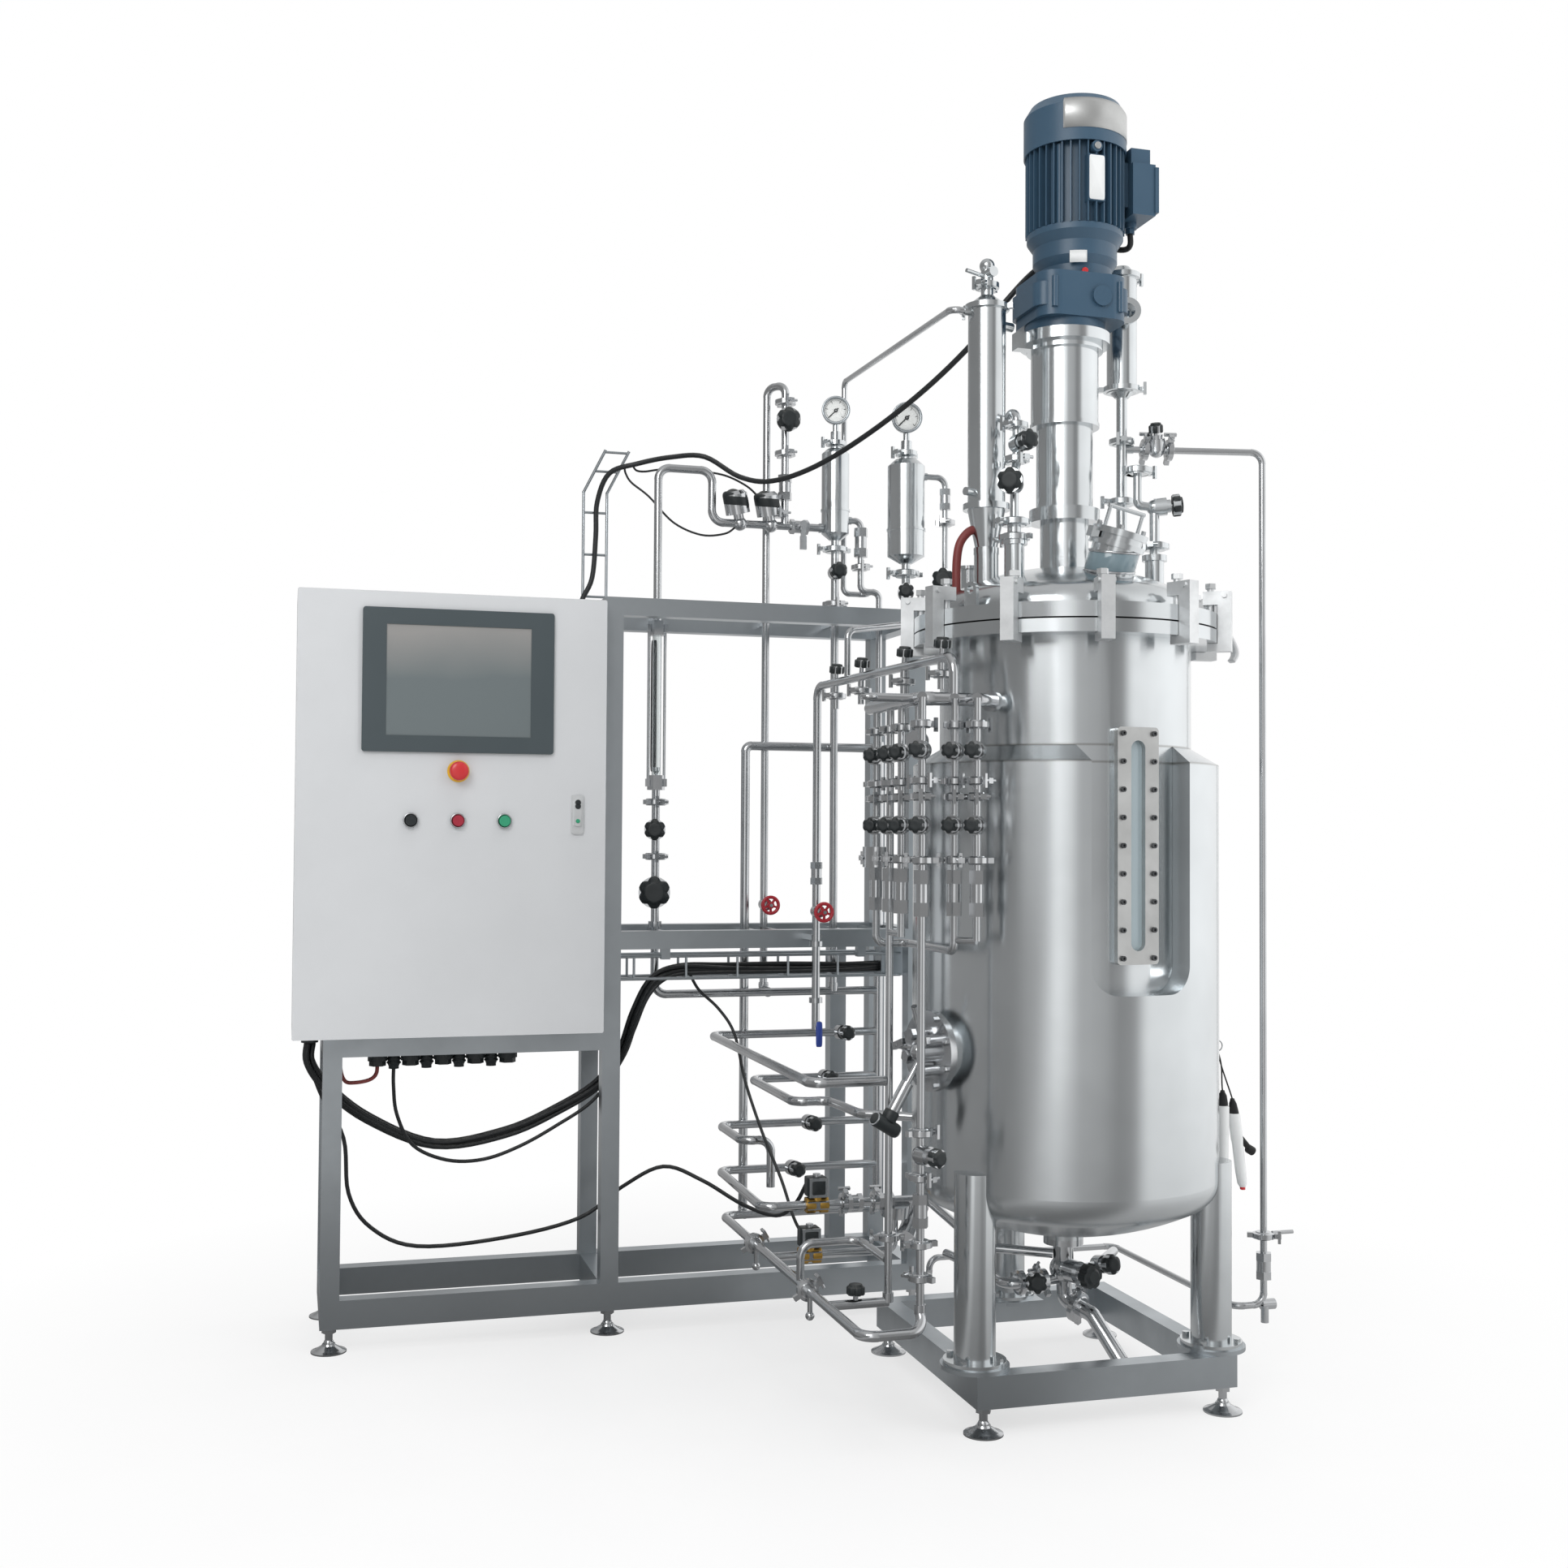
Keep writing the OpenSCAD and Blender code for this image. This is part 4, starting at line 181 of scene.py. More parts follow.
# What the cables share. A tube is a hair thinner than the cable it stands for
cordHabit = {"side": (0.35, 1, 0.2), "stiffness": "medium", "lay": "loose", "steps": 6, "sides": 14, "skin": 0.995}
cords = {
    "motor_cable": {"radius": 6, "side": (1, 1, 0.1), "route": [
        [548, 213, 1440], [548, 234, 1440], [556, 250, 1480], [566, 256, 1560], [580, 258, 1640], [606, 262, 1700],
        [614, 262, 1800], [616, 258, 1880], [640, 232, 1945], [700, 200, 1965], [780, 196, 1985], [860, 190, 1990],
        [930, 130, 1935], [990, 60, 1915], [1060, -60, 1930], [1140, -200, 1980], [1220, -330, 2050],
        [1290, -430, 2130], [1340, -485, 2205], [1405, -500, 2275], [1475, -510, 2312], [1528, -548, 2314],
        [1552, -596, 2298], [1555, -620, 2300], [1555, -620, 2322]]},
    "cabinet_loom": {"radius": 14, "stiffness": "stiff", "strands": 5, "route": [
        [-26, 110, 641], [-26, 110, 600], [10, 124, 545], [100, 136, 470], [245, 140, 405], [400, 140, 425],
        [520, 138, 475], [610, 132, 530], [660, 120, 600], [690, 110, 690], [728, 102, 762], [790, 98, 788],
        [900, 98, 788], [1040, 98, 788], [1160, 98, 788], [1268, 98, 788]]},
    "lower_cable": {"radius": 4, "route": [
        [151, 84, 590], [151, 84, 545], [160, 96, 480], [196, 110, 410], [270, 114, 374], [350, 114, 372],
        [430, 112, 398], [510, 110, 440], [590, 106, 492], [645, 98, 565], [680, 84, 650], [712, 74, 730],
        [760, 72, 772], [840, 74, 780], [940, 74, 780], [1060, 74, 780], [1180, 76, 782], [1262, 86, 786]]},
    "floor_cable": {"radius": 4.5, "route": [
        [-26, 160, 641], [-26, 160, 600], [0, 176, 520], [50, 180, 420], [62, 170, 300], [110, 160, 225],
        [210, 152, 180], [400, 150, 188], [572, 150, 223], [669, 150, 288], [765, 150, 330], [850, 120, 300],
        [920, 20, 262], [962, -110, 262], [985, -180, 300], [1001, -214, 350], [1001, -232, 350]]},
    "sensor_cable": {"radius": 3.5, "route": [
        [815, 108, 775], [836, 104, 738], [880, 92, 695], [910, 62, 640], [920, 0, 540], [938, -80, 440],
        [962, -150, 350], [976, -195, 280], [987, -216, 250], [987, -232, 250]]},
    "actuator_cable_a": {"radius": 2.5, "route": [
        [672, 211, 1955], [676, 214, 1942], [690, 214, 1922], [730, 205, 1890], [786, 192, 1830], [850, 180, 1802],
        [905, 172, 1806], [930, 166, 1822], [943, 163, 1836]]},
    "actuator_cable_b": {"radius": 2.5, "route": [
        [690, 206, 1964], [700, 212, 1952], [722, 215, 1951], [761, 214, 1958], [827, 204, 1958], [903, 190, 1950],
        [956, 180, 1927], [984, 172, 1902], [1000, 164, 1878]]},
}
cordPieces = []
loom = {"offset": 0.62, "strand": 0.37, "core": 0.36,  # shares of the loom's radius
        "winding": 1.9, "wander": 0.35, "waves": 9, "shift": 2.1, "strandSides": 10, "coreSides": 8}


# A loom is a bundle: strand k runs beside the path at a share of the radius, at an angle that winds slowly along
# it and wanders by a sine, round a straight core
def loomForm(path, radius, strands, side):
    first, second = pathAxes(path, side)
    along = np.concatenate([[0], np.cumsum(np.linalg.norm(np.diff(path, axis=0), axis=1))])
    tubes = []
    for k in range(strands):
        wander = loom["wander"] * np.sin(along * loom["waves"] + k * loom["shift"])
        turn = 2 * np.pi * k / strands + along * loom["winding"] + wander
        offset = radius * loom["offset"] * (np.cos(turn)[:, None] * first + np.sin(turn)[:, None] * second)
        tubes.append(swept(path + offset, radius * loom["strand"], loom["strandSides"], side))
    return joined(tubes + [swept(path, radius * loom["core"], loom["coreSides"], side)])


def makeCord(name, facts):
    facts = cordHabit | facts
    path = smoothRoute([at(*p) for p in facts["route"]], facts["steps"])
    radius, side = facts["radius"] / 1000, facts["side"]
    if "strands" in facts:
        shape = loomForm(path, radius, facts["strands"], side)
    else:
        shape = swept(path, radius * facts["skin"], facts["sides"], side)
    piece = meshFrom(name.replace("_", "-") + "-jacket", *shape)
    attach(piece, "root")
    if name in nodes:
        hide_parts(name)
    cordPieces.append(piece)


for cordName, cordFacts in cords.items():
    makeCord(cordName, cordFacts)


# Colour as seen on a screen, 0 to 255, as the renderer's linear values
def linear(r, g, b):
    c = np.array([r, g, b]) / 255
    c = np.where(c <= 0.04045, c / 12.92, ((c + 0.055) / 1.055) ** 2.4)
    return (*map(float, c), 1)


# Node tree with short words for adding nodes, each given its sockets' values or the sockets that feed them
class Sheet:

    def __init__(self, tree):
        self.tree = tree

    def feed(self, socket, value):
        if isinstance(value, bpy.types.NodeSocket):
            self.tree.links.new(value, socket)
        else:
            socket.default_value = value

    def add(self, kind, sockets=None, inside=None):
        node = self.tree.nodes.new("ShaderNode" + kind)
        if inside:
            node.node_tree = inside
        for key, value in (sockets or {}).items():
            self.feed(node.inputs[key], value)
        return node

    def group(self, inside, sockets):
        return self.add("Group", sockets, inside).outputs

    def math(self, operation, a, b=0.0, clamp=False):
        node = self.add("Math")
        node.operation, node.use_clamp = operation, clamp
        self.feed(node.inputs[0], a)
        self.feed(node.inputs[1], b)
        return node.outputs[0]

    def blend(self, factor, a, b):
        node = self.add("Mix")
        node.data_type = "RGBA"
        for place, value in ((0, factor), (6, a), (7, b)):  # the sockets of a colour mix
            self.feed(node.inputs[place], value)
        return node.outputs[2]

    def ramp(self, value, low, high, toLow=0.0, toHigh=1.0):
        return self.add("MapRange", {"Value": value, "From Min": low, "From Max": high,
                                     "To Min": toLow, "To Max": toHigh}).outputs[0]

    def noise(self, vector, scale, detail, roughness=0.5):
        return self.add("TexNoise", {"Vector": vector, "Scale": scale, "Detail": detail,
                                     "Roughness": roughness}).outputs[0]

    def split(self, vector):
        return self.add("SeparateXYZ", {"Vector": vector}).outputs


def effectGroup(name, inputs, outputs, build):
    group = bpy.data.node_groups.new(name, "ShaderNodeTree")
    for label, kind, value in inputs:
        socket = group.interface.new_socket(label, in_out="INPUT", socket_type="NodeSocket" + kind)
        if value is not None:
            socket.default_value = value
    for label in outputs:
        group.interface.new_socket(label, in_out="OUTPUT", socket_type="NodeSocketFloat")
    entry, leave = group.nodes.new("NodeGroupInput"), group.nodes.new("NodeGroupOutput")
    for label, socket in build(Sheet(group), entry.outputs).items():
        group.links.new(socket, leave.inputs[label])
    return group


# Fine scratches: noise squeezed across the rubbing direction, with a slow change over it
def buildGrain(s, given):
    stretched = s.add("Mapping", {"Vector": given["Vector"], "Scale": given["Squeeze"]}).outputs[0]
    slow = s.noise(given["Vector"], given["Smear Scale"], detail=4.0, roughness=0.62)
    return {"Scratch": s.noise(stretched, 1.0, detail=3.0, roughness=0.6), "Smear": s.ramp(slow, 0.36, 0.68)}


# Sprayed paint: a fine orange peel, and a slow unevenness in its shine
def buildPeel(s, given):
    slow = s.noise(given["Vector"], 5.0, detail=3.0, roughness=0.6)
    return {"Peel": s.noise(given["Vector"], given["Peel Scale"], 2.0), "Patch": s.ramp(slow, 0.35, 0.7)}


# Dust lies where a surface looks up, and gathers unevenly
def buildDust(s, given):
    upward = s.split(s.add("NewGeometry").outputs["Normal"])["Z"]
    patch = s.noise(given["Vector"], 38.0, detail=4.0, roughness=0.65)
    mask = s.math("MULTIPLY", s.ramp(upward, 0.35, 0.95), s.ramp(patch, 0.35, 0.75))
    return {"Dust": s.math("MULTIPLY", mask, given["Amount"], True)}


grainGroup = effectGroup("rubbedGrain", [("Vector", "Vector", None), ("Squeeze", "Vector", (1, 1, 1)),
                                         ("Smear Scale", "Float", 9.0)], ["Scratch", "Smear"], buildGrain)
peelGroup = effectGroup("paintPeel", [("Vector", "Vector", None), ("Peel Scale", "Float", 420.0)],
                        ["Peel", "Patch"], buildPeel)
dustGroup = effectGroup("settledDust", [("Vector", "Vector", None), ("Amount", "Float", 0.3)], ["Dust"], buildDust)


# New material with values on its shader's sockets. Gives back its sheet, shader and Object coordinates too
def newMaterial(name, sockets):
    material = bpy.data.materials.new(name)
    material.use_nodes = True
    sheet = Sheet(material.node_tree)
    shader = material.node_tree.nodes["Principled BSDF"]
    for key, value in sockets.items():
        shader.inputs[key].default_value = value
    return material, sheet, shader, sheet.add("TexCoord").outputs["Object"]


def addBump(sheet, shader, height, strength, distance):
    bump = sheet.add("Bump", {"Height": height, "Strength": strength, "Distance": distance})
    sheet.feed(shader.inputs["Normal"], bump.outputs[0])


steelHabit = {"grainTurn": 0.25, "fineShare": 0.6, "darkest": 0.86, "bump": 0.0002}
weld = {"width": 0.0035, "stain": 0.55, "colour": (120, 116, 108), "height": 6.0}


# Stainless steel: rubbed grain, uneven shine, and where asked a darker line at each weld
def steelMaterial(name, colour, roughness, spread, squeeze, scratch, smear, welds=(), brushed=0.0):
    material, s, shader, place = newMaterial(name, {"Metallic": 1.0, "Anisotropic": brushed,
                                                    "Anisotropic Rotation": steelHabit["grainTurn"]})
    grain = s.group(grainGroup, {"Vector": place, "Squeeze": squeeze, "Smear Scale": smear})
    fine = s.math("MULTIPLY", grain["Scratch"], spread * steelHabit["fineShare"])
    uneven = s.math("ADD", s.math("MULTIPLY", grain["Smear"], spread), fine)
    s.feed(shader.inputs["Roughness"], s.math("ADD", uneven, roughness))
    light = linear(*colour)
    dark = tuple(c * steelHabit["darkest"] for c in light[:3]) + (1,)
    tone, height = s.blend(grain["Smear"], light, dark), grain["Scratch"]
    if welds:
        up = s.split(place)["Z"]
        gaps = [s.math("ABSOLUTE", s.math("SUBTRACT", up, level)) for level in welds]
        lines = [s.ramp(gap, 0.0, weld["width"], 1.0, 0.0) for gap in gaps]
        near = lines[0]
        for line in lines[1:]:
            near = s.math("MAXIMUM", near, line)
        tone = s.blend(s.math("MULTIPLY", near, weld["stain"]), tone, linear(*weld["colour"]))
        height = s.math("ADD", height, s.math("MULTIPLY", near, weld["height"]))
    s.feed(shader.inputs["Base Color"], tone)
    addBump(s, shader, height, scratch, steelHabit["bump"])
    return material


paintHabit = {"coatRoughness": 0.12, "fade": 1.035, "haze": 0.002, "dust": (176, 174, 168), "wander": 0.12,
              "bump": 0.0003}


# Sprayed enamel or moulded plastic: orange peel, uneven shine and some dust where it looks up
def paintMaterial(name, colour, roughness, peel, dust, coat=0.0):
    sockets = {"Coat Weight": coat, "Coat Roughness": paintHabit["coatRoughness"]}
    material, s, shader, place = newMaterial(name, sockets)
    skin = s.group(peelGroup, {"Vector": place})
    dusty = s.group(dustGroup, {"Vector": place, "Amount": dust})["Dust"]
    fresh = linear(*colour)
    faded = tuple(min(1.0, c * paintHabit["fade"] + paintHabit["haze"]) for c in fresh[:3]) + (1,)
    tone = s.blend(dusty, s.blend(skin["Patch"], fresh, faded), linear(*paintHabit["dust"]))
    s.feed(shader.inputs["Base Color"], tone)
    uneven = s.math("MULTIPLY", skin["Patch"], paintHabit["wander"])
    s.feed(shader.inputs["Roughness"], s.math("ADD", uneven, roughness))
    addBump(s, shader, skin["Peel"], peel, paintHabit["bump"])
    return material


glass = {"sockets": {"Base Color": (0.93, 0.96, 0.96, 1), "Transmission Weight": 1.0, "Roughness": 0.02,
                     "IOR": 1.45}, "grain": (60, 60, 60), "smear": 25.0, "spread": 0.05}


def glassMaterial(name):
    material, s, shader, place = newMaterial(name, glass["sockets"])
    grain = s.group(grainGroup, {"Vector": place, "Squeeze": glass["grain"], "Smear Scale": glass["smear"]})
    s.feed(shader.inputs["Roughness"], s.math("MULTIPLY", grain["Smear"], glass["spread"]))
    return material


# The screen's high colour, band span and mottle make a painted reflection on its upper part
screen = {"sockets": {"Roughness": 0.16, "Coat Weight": 0.6, "Coat Roughness": 0.04}, "low": (104, 113, 115),
          "high": (146, 145, 143), "band": (0.62, 1.08), "mottle": 0.22, "mottleScale": 6.0}


# Dark glass with a painted reflection: a paler, warmer band towards its top edge
def screenMaterial(name):
    material, s, shader, place = newMaterial(name, screen["sockets"])
    low, high = (np.array(c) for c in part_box("panel_screen"))
    rise = s.ramp(s.split(place)["Z"], float(low[2]), float(high[2]))
    mottled = s.math("MULTIPLY", s.noise(place, screen["mottleScale"], 2.0), screen["mottle"])
    # painted reflection: the paler band rises with height, its edge made uneven by noise
    mask = s.ramp(s.math("ADD", rise, mottled), *screen["band"])
    s.feed(shader.inputs["Base Color"], s.blend(mask, linear(*screen["low"]), linear(*screen["high"])))
    return material


# Spread is how far the roughness wanders, squeeze the grain's fineness each way, smear the size of its slow change
steels = {
    "polishedSteel": {"colour": (214, 218, 220), "roughness": 0.15, "spread": 0.05, "squeeze": (24, 24, 24),
                      "scratch": 0.02, "smear": 3.5},
    "jacketSteel": {"colour": (214, 218, 220), "roughness": 0.19, "spread": 0.05, "squeeze": (10, 10, 400),
                    "scratch": 0.02, "smear": 2.0, "welds": (1.236, 1.268), "brushed": 0.85},
    "brightSteel": {"colour": (206, 208, 210), "roughness": 0.15, "spread": 0.04, "squeeze": (90, 90, 90),
                    "scratch": 0.03, "smear": 6.0},
    "satinSteel": {"colour": (188, 194, 198), "roughness": 0.26, "spread": 0.10, "squeeze": (500, 500, 60),
                   "scratch": 0.12, "smear": 4.0},
    "castSteel": {"colour": (236, 238, 239), "roughness": 0.46, "spread": 0.10, "squeeze": (120, 120, 120),
                  "scratch": 0.15, "smear": 18.0},
    "boltSteel": {"colour": (96, 98, 100), "roughness": 0.32, "spread": 0.16, "squeeze": (300, 300, 300),
                  "scratch": 0.2, "smear": 30.0},
    "plateSteel": {"colour": (212, 213, 212), "roughness": 0.34, "spread": 0.10, "squeeze": (400, 400, 40),
                   "scratch": 0.2, "smear": 9.0},
    "zincSteel": {"colour": (188, 189, 184), "roughness": 0.34, "spread": 0.2, "squeeze": (80, 80, 80),
                  "scratch": 0.2, "smear": 22.0},
    "brass": {"colour": (206, 164, 84), "roughness": 0.24, "spread": 0.2, "squeeze": (200, 200, 200),
              "scratch": 0.2, "smear": 30.0},
}
paints = {
    "bluePaint": {"colour": (56, 83, 104), "roughness": 0.32, "peel": 0.25, "dust": 0.22},
    "greyPaint": {"colour": (206, 208, 210), "roughness": 0.46, "peel": 0.35, "dust": 0.08},
    "redPaint": {"colour": (168, 38, 50), "roughness": 0.34, "peel": 0.15, "dust": 0.15},
    "bezelPlastic": {"colour": (66, 76, 80), "roughness": 0.46, "peel": 0.12, "dust": 0.1},
    "blackPlastic": {"colour": (30, 36, 38), "roughness": 0.40, "peel": 0.2, "dust": 0.22},
    "redPlastic": {"colour": (200, 44, 48), "roughness": 0.30, "peel": 0.05, "dust": 0.08, "coat": 0.2},
    "darkRedPlastic": {"colour": (160, 34, 54), "roughness": 0.34, "peel": 0.05, "dust": 0.08, "coat": 0.1},
    "greenPlastic": {"colour": (44, 152, 112), "roughness": 0.28, "peel": 0.05, "dust": 0.08, "coat": 0.2},
    "bluePlastic": {"colour": (40, 66, 150), "roughness": 0.36, "peel": 0.1, "dust": 0.1, "coat": 0.1},
    "whitePlastic": {"colour": (226, 228, 228), "roughness": 0.4, "peel": 0.1, "dust": 0.06},
    "dialWhite": {"colour": (240, 242, 240), "roughness": 0.4, "peel": 0.02, "dust": 0.0, "coat": 0.6},
    "yellowPlastic": {"colour": (226, 176, 44), "roughness": 0.34, "peel": 0.1, "dust": 0.1},
    "cableJacket": {"colour": (30, 33, 35), "roughness": 0.46, "peel": 0.3, "dust": 0.25},
    "blackRubber": {"colour": (24, 26, 27), "roughness": 0.62, "peel": 0.3, "dust": 0.2},
    "tubeRed": {"colour": (122, 52, 50), "roughness": 0.4, "peel": 0.15, "dust": 0.1},
    "neckGlass": {"colour": (120, 140, 148), "roughness": 0.06, "peel": 0.02, "dust": 0.0, "coat": 0.8},
    "paleGlass": {"colour": (158, 174, 180), "roughness": 0.08, "peel": 0.02, "dust": 0.0, "coat": 0.8},
}
materials = {name: steelMaterial(name, **facts) for name, facts in steels.items()}
materials |= {name: paintMaterial(name, **facts) for name, facts in paints.items()}
materials |= {"clearGlass": glassMaterial("clearGlass"), "screenGlass": screenMaterial("screenGlass")}

finishes = {
    "jacketSteel": ["vessel_shell", "jacket"],
    "polishedSteel": ["vessel_legs", "baffles", "sparger", "agitator", "lid", "sight_port", "exhaust_condenser",
                      "side_condenser", "filter_housing_a", "filter_housing_b", "lantern"],
    "brightSteel": ["levelling_feet", "shaft_seal", "pressure_gauges", "rotameter", "rotameter_float", "air_line",
                    "manifold", "utility_lines", "return_line", "drain_line", "side_port", "air_lever"],
    "satinSteel": ["rack_frame", "vessel_base", "cable_ladder"],
    "castSteel": ["lid_clamps", "door_latch"],
    "plateSteel": ["window_frame"],
    "boltSteel": ["window_bolts"],
    "zincSteel": ["mounting_plate"],
    "bluePaint": ["gear_unit", "motor_body", "fan_cowl", "terminal_box"],
    "greyPaint": ["cabinet_body", "cabinet_door"],
    "redPaint": ["handwheel_a", "handwheel_b"],
    "bezelPlastic": ["touch_panel"],
    "blackPlastic": ["motor_fan", "gauge_pointer_a", "gauge_pointer_b", "button_black", "cable_glands",
                     "drain_knob"],
    "redPlastic": ["emergency_stop"],
    "darkRedPlastic": ["button_red"],
    "greenPlastic": ["button_green"],
    "whitePlastic": ["filter_cartridges"],
    "blackRubber": ["lid_gasket"],
    "cableJacket": ["motor_cable", "cabinet_loom", "floor_cable", "sensor_cable"],
    "clearGlass": ["rotameter_tube"],
    "paleGlass": ["window_glass"],
    "screenGlass": ["panel_screen"],
}
for finish, names in finishes.items():
    for nodeName in names:
        mesh = nodes[nodeName].data
        mesh.materials.clear()
        mesh.materials.append(materials[finish])
for piece in cordPieces:
    piece.data.materials.append(materials["cableJacket"])
print("materials placed")


# Piece from one shape, or from several in a list
def addPiece(name, shape, finish, body="root", smooth=True, replaces=()):
    piece = meshFrom(name, *(joined(shape) if isinstance(shape, list) else shape), smooth=smooth)
    piece.data.materials.append(materials[finish])
    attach(piece, body)
    if replaces:
        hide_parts(*replaces)


# Black knobs over the valves' own: place, facing direction, radius, and where needed how far above the place
knobShape = {"lobes": 6, "dip": 0.16, "sharp": 8, "rim": 0.0016, "height": 0.0155, "proud": 0.0008, "above": 36,
             "sides": 60, "step": [(0.74, 0.0012), (0.70, 0.0042), (0.52, 0.0050), (0.3, 0.0046), (0, 0.0046)]}
slantFace, riserFace, lineFace = (-0.25, -1, 0), (-0.55, -0.83, 0), (-0.1, -1, 0)
risers = [(1036, -560), (1036, -640), (1036, -705), (1030, -830), (1100, -814), (1131, -846)]
heads = [(1072, -180), (1080, -330), (1090, -565), (1100, -744)]
knobs = {
    "rotameter": [((743, 160.5, 962), slantFace, 36), ((743, 160.5, 1106), slantFace, 24)],
    "air": [((1050, 160.5, 2076), lineFace, 27.6), ((1176, 160.5, 1724), lineFace, 19.2)],
    "riser": [((x, y, z), riserFace, 14.4) for x, y in risers for z in (1252, 1116)]
    + [((1030, -830, 520), (0.4, -1, 0), 16.8)],
    "steam": [((1075 + 40 * k, 160.5, 312 + 105 * k), (0.1, -1, 0.05), 16.8) for k in range(4)],
    "drain": [((1338, -630, 222.3), (-0.2, -1, 0.2), 19.2), ((1510, -568, 232.3), (0.2, -1, 0.2), 19.2)],
    "filter": [((1226, -200, 1629), (-0.35, -1, 0), 16.8), ((1318, -200, 1659), (-0.5, -1, 0), 24)],
    "feed": [((1251.4, -735.2, 1769), riserFace, 24), ((1263.4, -718.2, 1852), (0.1, -1, 0), 19.2),
             ((1601.3, -636.7, 1763), (1, -0.4, 0.1), 21.6), ((1648.5, -556.9, 1900), (-0.2, -0.3, 1), 14.4)],
    "head": [((x, y, 1430), (0, -0.2, 1), 15.5, 20) for x, y in heads],
    "low": [((971, -640, 215), (0, 0, 1), 16.8, 10)],
}


# Knob: radius times 1 - dip*cos^8(3 angle) makes six finger dips; the profile is a rounded drum with a dished top
def knobForm(place, face, radius, above=knobShape["above"]):
    rim, h = knobShape["rim"], knobShape["height"]
    r = radius / 1000 + knobShape["proud"]
    profile = [(0, -0.0004), (r * 0.6, -0.0004), (r - rim, -0.0002), (r, rim), (r, h - rim), (r - rim, h)]
    profile += [(r * share, h + rise) for share, rise in knobShape["step"]]

    def fingers(angle, height):
        onDrum = np.abs(height - h / 2) < h * 0.6
        return 1 - knobShape["dip"] * np.cos(knobShape["lobes"] * angle / 2) ** knobShape["sharp"] * onDrum

    return turned(profile, at(*place) + unit(face) * above / 1000, face, knobShape["sides"], fingers)


for groupName, group in knobs.items():
    addPiece("knobs-" + groupName, [knobForm(*knob) for knob in group], "blackPlastic")
print("knobs made")


# Drum with rounded edges: from the axis out along the low face, round the rim by quarter circles, and back in over
# a crown that rises by 1 - (share of the radius) squared. Drums, rings and plates are in millimetres, and the
# dictionaries below give their sizes in the order of the functions
def drumForm(place, face, radius, low, high, edge, sides, domed=0.0):
    a = np.linspace(0, np.pi / 2, 5)
    low, high, r, edge, domed = (v / 1000 for v in (low, high, radius, edge, domed))
    lower = np.stack([r - edge + edge * np.sin(a), low + edge - edge * np.cos(a)], 1)
    upper = np.stack([r - edge + edge * np.cos(a), high - edge + edge * np.sin(a)], 1)
    crown = np.linspace(r - edge, 0, 5)[1:]
    top = np.stack([crown, high + domed * (1 - (crown / (r - edge)) ** 2)], 1)
    return turned(np.concatenate([[(0, low)], lower, upper, top]), place, face, sides)


# Ring: a profile that starts and ends at its inner radius, so the tube closes on itself
def ringForm(place, face, inner, outer, low, high, edge, sides):
    inner, outer, low, high, edge = (v / 1000 for v in (inner, outer, low, high, edge))
    shoulder = edge * 0.3
    profile = [(inner, low), (outer - edge, low), (outer, low + edge), (outer, high - edge),
               (outer - shoulder, high - shoulder), (outer - edge, high), (inner + edge, high),
               (inner, high - edge), (inner, low)]
    return turned(profile, place, face, sides)


# Oblong outline: |x|^power + |y|^power = 1, given as x and y round its edge
def oblong(power, sides):
    angle = roundAngles(sides)
    return [np.sign(f) * np.abs(f) ** (2 / power) for f in (np.cos(angle), np.sin(angle))]


# Flat bar with rounded corners: an oblong outline of the given sides in millimetres, at four levels, the last one
# drawn in a little as a bevel
def plateForm(place, across, face, width, height, thick, power, sides=48):
    across, face = unit(across), unit(face)
    upward = np.cross(face, across)
    a, b = oblong(power, sides)
    x, y = a * width / 2000, b * height / 2000
    bevel = 0.2 * thick
    levels = np.array([(0, 0), (1, 0), (1, thick * 0.8), (1 - bevel / max(width, height) * 2, thick), (0, thick)])
    share, rise = levels[:, 0, None, None], levels[:, 1, None, None] / 1000
    points = place + share * (x[:, None] * across + y[:, None] * upward) + rise * face
    return points.reshape(-1, 3), gridFaces(len(levels), sides)


# Curved strip on an upright cylinder: a profile (radius, height) carried from one angle to the other, with its
# thickness outwards and both ends closed
def stripForm(axis, profile, start, end, thick, steps):
    angle = np.radians(np.linspace(start, end, steps))
    profile = np.asarray(profile, float) / 1000
    outline = np.concatenate([profile, profile[::-1] + [[thick / 1000, 0]], profile[:1]])
    radius, height = outline[:, :1], np.broadcast_to(outline[:, 1:], (len(outline), steps))
    ring = np.stack([radius * np.cos(angle), radius * np.sin(angle), height], -1) + axis
    low, last = np.arange(len(profile) - 1), 2 * len(profile) - 1
    cap = np.stack([low, low + 1, last - 1 - low, last - low], 1) * steps
    faces = gridFaces(len(outline), steps, closed=False)[:, [0, 3, 2, 1]]
    return ring.reshape(-1, 3), np.concatenate([faces, cap, cap[:, ::-1] + steps - 1])


# Dials are white discs with ticks on an arc, in the rims' floors
gauges = {"centres": [(1176, 160.5, 2115), (1226, -200, 2018)], "face": slantFace,
          "dial": (28.4, 5.05, 5.3, 0.1, 64), "rim": (28.2, 34.2, 6.2, 13.4, 1.6, 64)}
ticks = {"count": 50, "every": 10, "from": 225, "arc": 270, "tip": 0.90, "longRoot": 0.68, "shortRoot": 0.80,
         "longHalf": 0.0007, "shortHalf": 0.0003, "lift": 0.0002}


